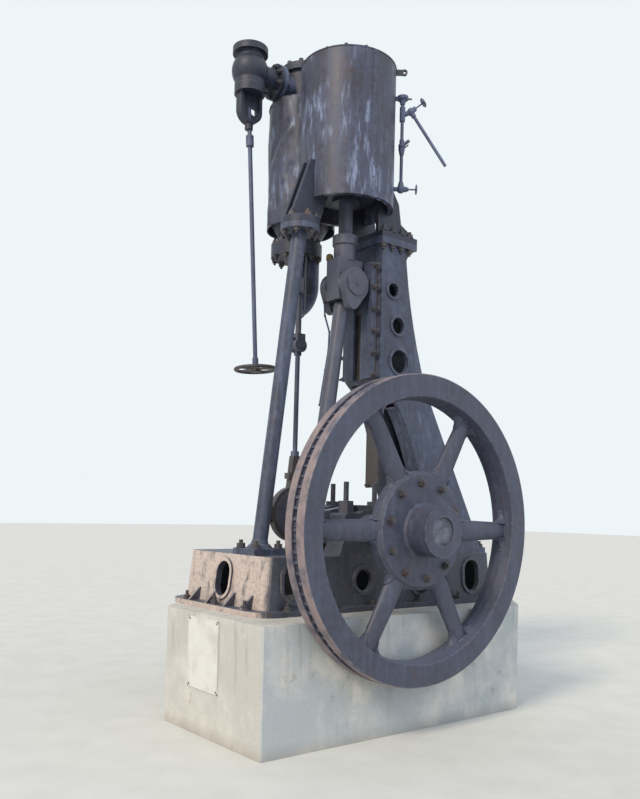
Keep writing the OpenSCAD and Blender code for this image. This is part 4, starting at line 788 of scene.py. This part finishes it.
class ENGINE_OT_wheel(Operator):
    """Fillets of the flywheel's windows, its barring slots and the sawn end of the shaft"""
    bl_idname = "engine.wheel"
    bl_label = "Flywheel details"

    def execute(self, context):
        sizes = context.scene.engine_sizes
        low, high, centre, wheel_r = round_box("flywheel")
        rim_middle = Vector((centre.x, low.y + RIM_MID_FROM_BOSS, centre.z))
        self.fillets(rim_middle, wheel_r, sizes.fillet)
        self.barring_slots(rim_middle, wheel_r, sizes.barring_slots)
        self.shaft_end(centre)
        return {"FINISHED"}

    def fillet(self, radius, reach, half, sign):
        """Fillet beside a spoke that lies along X, of some half width, where it runs out into the rim
        (sign 1) or in to the hub disc (sign -1) at some reach. It is thin at its round edge."""
        cy = half + radius
        cx = math.sqrt((reach - sign * radius) ** 2 - cy * cy)
        first, last = -math.pi / 2, math.atan2(sign * cy, sign * cx)
        back = Vector((math.sqrt(reach * reach - half * half), half)) + Vector((sign * 0.012, -0.016))
        depths = ((0.0, 0.010), (0.28, 0.026), (0.62, 0.038), (1.0, 0.044))
        steps = 9
        row = steps + 1
        spots = []
        for depth, half_thick in depths:
            for i in range(row):
                a = first + (last - first) * i / steps
                edge = Vector((cx + radius * math.cos(a), cy + radius * math.sin(a)))
                spots.append((*edge.lerp(back, depth), half_thick))
        points = [Vector((x, y, face * thick)) for face in (-1, 1) for x, y, thick in spots]
        sheet = len(spots)
        faces = grid(len(depths), row)
        faces += [[sheet + i for i in face] for face in faces]
        faces += [[i, i + 1, sheet + i + 1, sheet + i] for i in range(steps)]
        for j in range(len(depths) - 1):
            for c in (j * row, j * row + steps):
                faces.append([c, c + row, sheet + c + row, sheet + c])
        return points, faces

    def fillets(self, rim_middle, wheel_r, radius):
        """Two fillets at each end of every spoke."""
        spokes, half_at_rim, half_at_hub = 6, 0.066, 0.080
        ends = (self.fillet(radius, wheel_r - FILLETS_FROM_TREAD, half_at_rim, 1),
                self.fillet(radius, HUB_DISC_R, half_at_hub, -1))
        shapes = []
        for spoke in range(spokes):
            turn = math.tau * spoke / spokes
            along = Vector((math.cos(turn), 0, math.sin(turn)))
            across = Vector((-math.sin(turn), 0, math.cos(turn)))
            for side in (-1, 1):
                for points, faces in ends:
                    shapes.append(([rim_middle + along * p.x + across * (side * p.y) + NORTH * p.z
                                    for p in points], faces))
        build("spoke_fillets", *joined(shapes), "wheel_paint", smooth=True)

    def barring_slots(self, rim_middle, wheel_r, count):
        """Lands between the slots that a bar is put in to turn the wheel by hand."""
        tall, sunk, land_share = 0.016, 0.001, 0.24
        pitch = math.tau * wheel_r / count
        values = {"Count": count, "Radius": wheel_r - GROOVE_DEEP + tall / 2 - sunk,
                  "Size": (tall, pitch * land_share, GROOVE_WID)}
        realised("barring_lands", TREES["blocks"], values, [(0, 0, 0)], facing(rim_middle, SOUTH),
                 "wheel_paint")

    def shaft_end(self, centre):
        """Sawn end of the shaft in the hub's boss."""
        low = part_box("crankshaft")[0]
        proud, sunk = 0.004, 0.001
        outline = [spot[:2] for spot in ring(48, SHAFT_R)]
        points, faces = prism(outline, low.y - proud, low.y + sunk, (EAST, UP, NORTH))
        points = [p + Vector((centre.x, 0, centre.z)) for p in points]
        build("sawn_shaft_end", points, faces, "saw_cut", slot="running_steel")


class ENGINE_OT_fasteners(Operator):
    """Nuts and studs of the flanges, feet and guides"""
    bl_idname = "engine.fasteners"
    bl_label = "Fasteners"

    def execute(self, context):
        self.chest_flanges()
        self.columns()
        self.guide()
        self.bed()
        self.strap()
        self.steam_pipe()
        self.notice()
        return {"FINISHED"}

    def chest_flanges(self):
        """Nuts of the chest's bottom cover, on both sides of its flange, and of the elbow's blank flange."""
        low, high, centre, radius = round_box("chest_bottom_cover")
        cover_edge, blank_edge = 0.028, 0.022
        spots = ring(10, radius - cover_edge, 0.2)
        nuts("chest_cover_nuts", spots, Vector((centre.x, centre.y, low.z + COVER_GLAND)), DOWN)
        nuts("chest_flange_nuts", spots, Vector((centre.x, centre.y, high.z + CASTING_DISC + SEAT)), UP)
        low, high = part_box("exhaust_elbow")
        flange_r = 0.107
        centre = Vector((middle("exhaust_elbow").x, high.y, low.z + flange_r))
        nuts("blank_flange_nuts", ring(6, flange_r - blank_edge), centre, NORTH, 0.8)

    def columns(self):
        """Nuts of both columns' feet, and nuts above and below their heads."""
        low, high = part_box("front_column")
        axis_y = (low.y + high.y) / 2
        foot_edge, casting_edge = 0.042, 0.028
        half = FRONT_FOOT_HALF - foot_edge
        foot = Vector((low.x + FRONT_FOOT_HALF, axis_y, low.z + COLUMN_PAD))
        nuts("front_foot_nuts", corners(half, half), foot, UP, 1.35)
        head = Vector((high.x - FRONT_HEAD_R, axis_y, high.z))
        bolt_circle_r = 0.118
        spots = ring(6, bolt_circle_r, 0.35)
        nuts("front_head_nuts", spots, head + UP * (CASTING_DISC + SEAT), UP, 1.1)
        nuts("front_head_studs", spots, head - UP * FRONT_HEAD, DOWN, 1.0)
        low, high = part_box("back_column")
        axis_y = middle("back_column").y
        foot = Vector((high.x - 0.090, axis_y, low.z + COLUMN_PAD))
        spots = [(a * 0.052, b * y, 0) for a in (-1, 1) for b in (-1, 1) for y in (0.200, 0.310)]
        nuts("back_foot_nuts", spots, foot, UP, 1.2)
        head = Vector((low.x, axis_y, high.z))
        end_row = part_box("cylinder_casting")[1].x - low.x - casting_edge
        spots = [(x, side * 0.216, 0) for side in (-1, 1) for x in (0.030, 0.125, 0.220, 0.315)]
        spots += [(end_row, y, 0) for y in (-0.14, 0, 0.14)]
        nuts("back_head_nuts", [(x, -y, 0) for x, y, z in spots], head - UP * HEAD_FLANGE, DOWN, 1.1)
        nuts("back_head_studs", spots, head + UP * (HEAD_FLANGE + SEAT), UP, 1.1)

    def guide(self):
        """Bolts of the two keepers that hold the crosshead's slipper to its guide."""
        low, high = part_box("guide_strips")
        centre = middle("guide_strips")
        count, inset = 6, 0.025
        span = high.z - low.z - 2 * inset
        rows = [(0, span * (i / (count - 1) - 0.5), 0) for i in range(count)]
        for name, y, out in (("near_keeper_bolts", low.y, SOUTH), ("far_keeper_bolts", high.y, NORTH)):
            fasteners(name, rows, Vector((centre.x, y, centre.z)), out, *KEEPER_BOLT)

    def bed(self):
        """Nuts that hold the bed down, along all four sides of its flange."""
        low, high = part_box("bedplate")
        centre = middle("bedplate")
        end_edge, side_edge = 0.045, 0.038
        half_x, half_y = (high.x - low.x) / 2 - end_edge, (high.y - low.y) / 2 - side_edge
        spots = [(x, side * half_y, 0) for side in (-1, 1) for x in (-1.05, -0.62, -0.25, 0.25, 0.70, 1.08)]
        spots += [(side * half_x, y, 0) for side in (-1, 1) for y in (-0.40, 0.0, 0.40)]
        nuts("holding_down_nuts", spots, Vector((centre.x, centre.y, low.z + BED_FLANGE)), UP, 1.15, 1.6)

    def strap(self):
        """Bolts through the lugs of the eccentric's strap, level with its sheave's middle."""
        low, high, centre, radius = round_box("eccentric_strap")
        lug_edge, half_thick = 0.034, 0.044
        lug = radius - lug_edge
        spots = [(-lug, 0, 0), (lug, 0, 0)]
        level = Vector((centre.x, centre.y, middle("eccentric_sheave").z))
        nuts("strap_nuts", spots, level + UP * half_thick, UP, 1.1, 1.4)
        nuts("strap_bolts", spots, level + DOWN * half_thick, DOWN, 1.1, 0.3)

    def steam_pipe(self):
        """Nuts of the flanges at both ends of the inlet pipe."""
        throttle_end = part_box("throttle_body")[1].x
        chest_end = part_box("inlet_pipe")[0].x
        axis = Vector((0, middle("throttle_body").y, middle("inlet_pipe").z))
        bolt_circle_r = 0.114
        spots = ring(8, bolt_circle_r, 0.4)
        nuts("inlet_nuts", spots, axis + EAST * (chest_end + INLET_FLANGE), EAST, 0.75)
        nuts("inlet_studs", spots, axis + EAST * (throttle_end - INLET_FLANGE), WEST, 0.75)

    def notice(self):
        """Screws at the notice plate's corners, and the raised border round its bare field."""
        low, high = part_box("notice_plate")
        centre = middle("notice_plate")
        face = Vector((low.x, centre.y, centre.z))
        wide, tall = (high.y - low.y) / 2, (high.z - low.z) / 2
        inset = 0.018
        fasteners("notice_screws", corners(wide - inset, tall - inset), face, WEST, *NOTICE_SCREW)
        bead, proud, sunk = 0.010, 0.002, 0.0005
        bars = [(-wide, wide, side * tall, side * (tall - bead)) for side in (1, -1)]
        bars += [(side * wide, side * (wide - bead), -tall, tall) for side in (-1, 1)]
        shapes = [prism([(y0, z0), (y1, z0), (y1, z1), (y0, z1)], -proud, sunk, (NORTH, UP, EAST))
                  for y0, y1, z0, z1 in bars]
        points, faces = joined(shapes)
        build("notice_border", [p + face for p in points], faces, "notice_enamel")


class ENGINE_OT_splash_plate(Operator):
    """Narrow plate that hangs between the back column's legs, clear of the crank"""
    bl_idname = "engine.splash_plate"
    bl_label = "Splash plate"

    def execute(self, context):
        axis = middle("cylinder_jacket")
        front, thick = axis.x + 0.345, 0.012
        near, far = axis.y - 0.070, axis.y + 0.081
        foot, top = 1.790, 2.560
        outline = [(near, foot), (far, foot), (far, top), (near, top)]
        points, faces = prism(outline, front, front + thick, (NORTH, UP, EAST))
        build("splash_plate", points, faces, "guide_iron")
        nut_y, nut_rise = 0.0455, 0.020
        nuts("splash_plate_nuts", [(nut_y, 0, 0), (-nut_y, 0, 0)], Vector((front, axis.y, foot + nut_rise)),
             WEST, 0.8)
        return {"FINISHED"}


class ENGINE_PT_looks(Panel):
    """Pieces and finishes of the engine"""
    bl_label = "Engine looks"
    bl_idname = "ENGINE_PT_looks"
    bl_space_type = "VIEW_3D"
    bl_region_type = "UI"
    bl_category = "Engine"

    def draw(self, context):
        layout = self.layout
        for operator in OPERATORS:
            layout.operator(operator.bl_idname)
        for group in (context.scene.engine_colours, context.scene.engine_sizes):
            for name in group.__annotations__:
                layout.prop(group, name)


OPERATORS = (ENGINE_OT_stage, ENGINE_OT_finishes, ENGINE_OT_sheets, ENGINE_OT_wheel, ENGINE_OT_fasteners,
             ENGINE_OT_splash_plate)
CLASSES = (EngineColours, EngineSizes) + OPERATORS + (ENGINE_PT_looks,)


def register():
    for cls in CLASSES:
        bpy.utils.register_class(cls)
    bpy.types.Scene.engine_colours = PointerProperty(type=EngineColours)
    bpy.types.Scene.engine_sizes = PointerProperty(type=EngineSizes)


def unregister():
    del bpy.types.Scene.engine_sizes
    del bpy.types.Scene.engine_colours
    for cls in reversed(CLASSES):
        bpy.utils.unregister_class(cls)


def main():
    register()
    bpy.ops.engine.stage()
    bpy.ops.engine.finishes()
    bpy.ops.engine.sheets()
    bpy.ops.engine.wheel()
    bpy.ops.engine.fasteners()
    bpy.ops.engine.splash_plate()


if __name__ == "__main__":
    main()
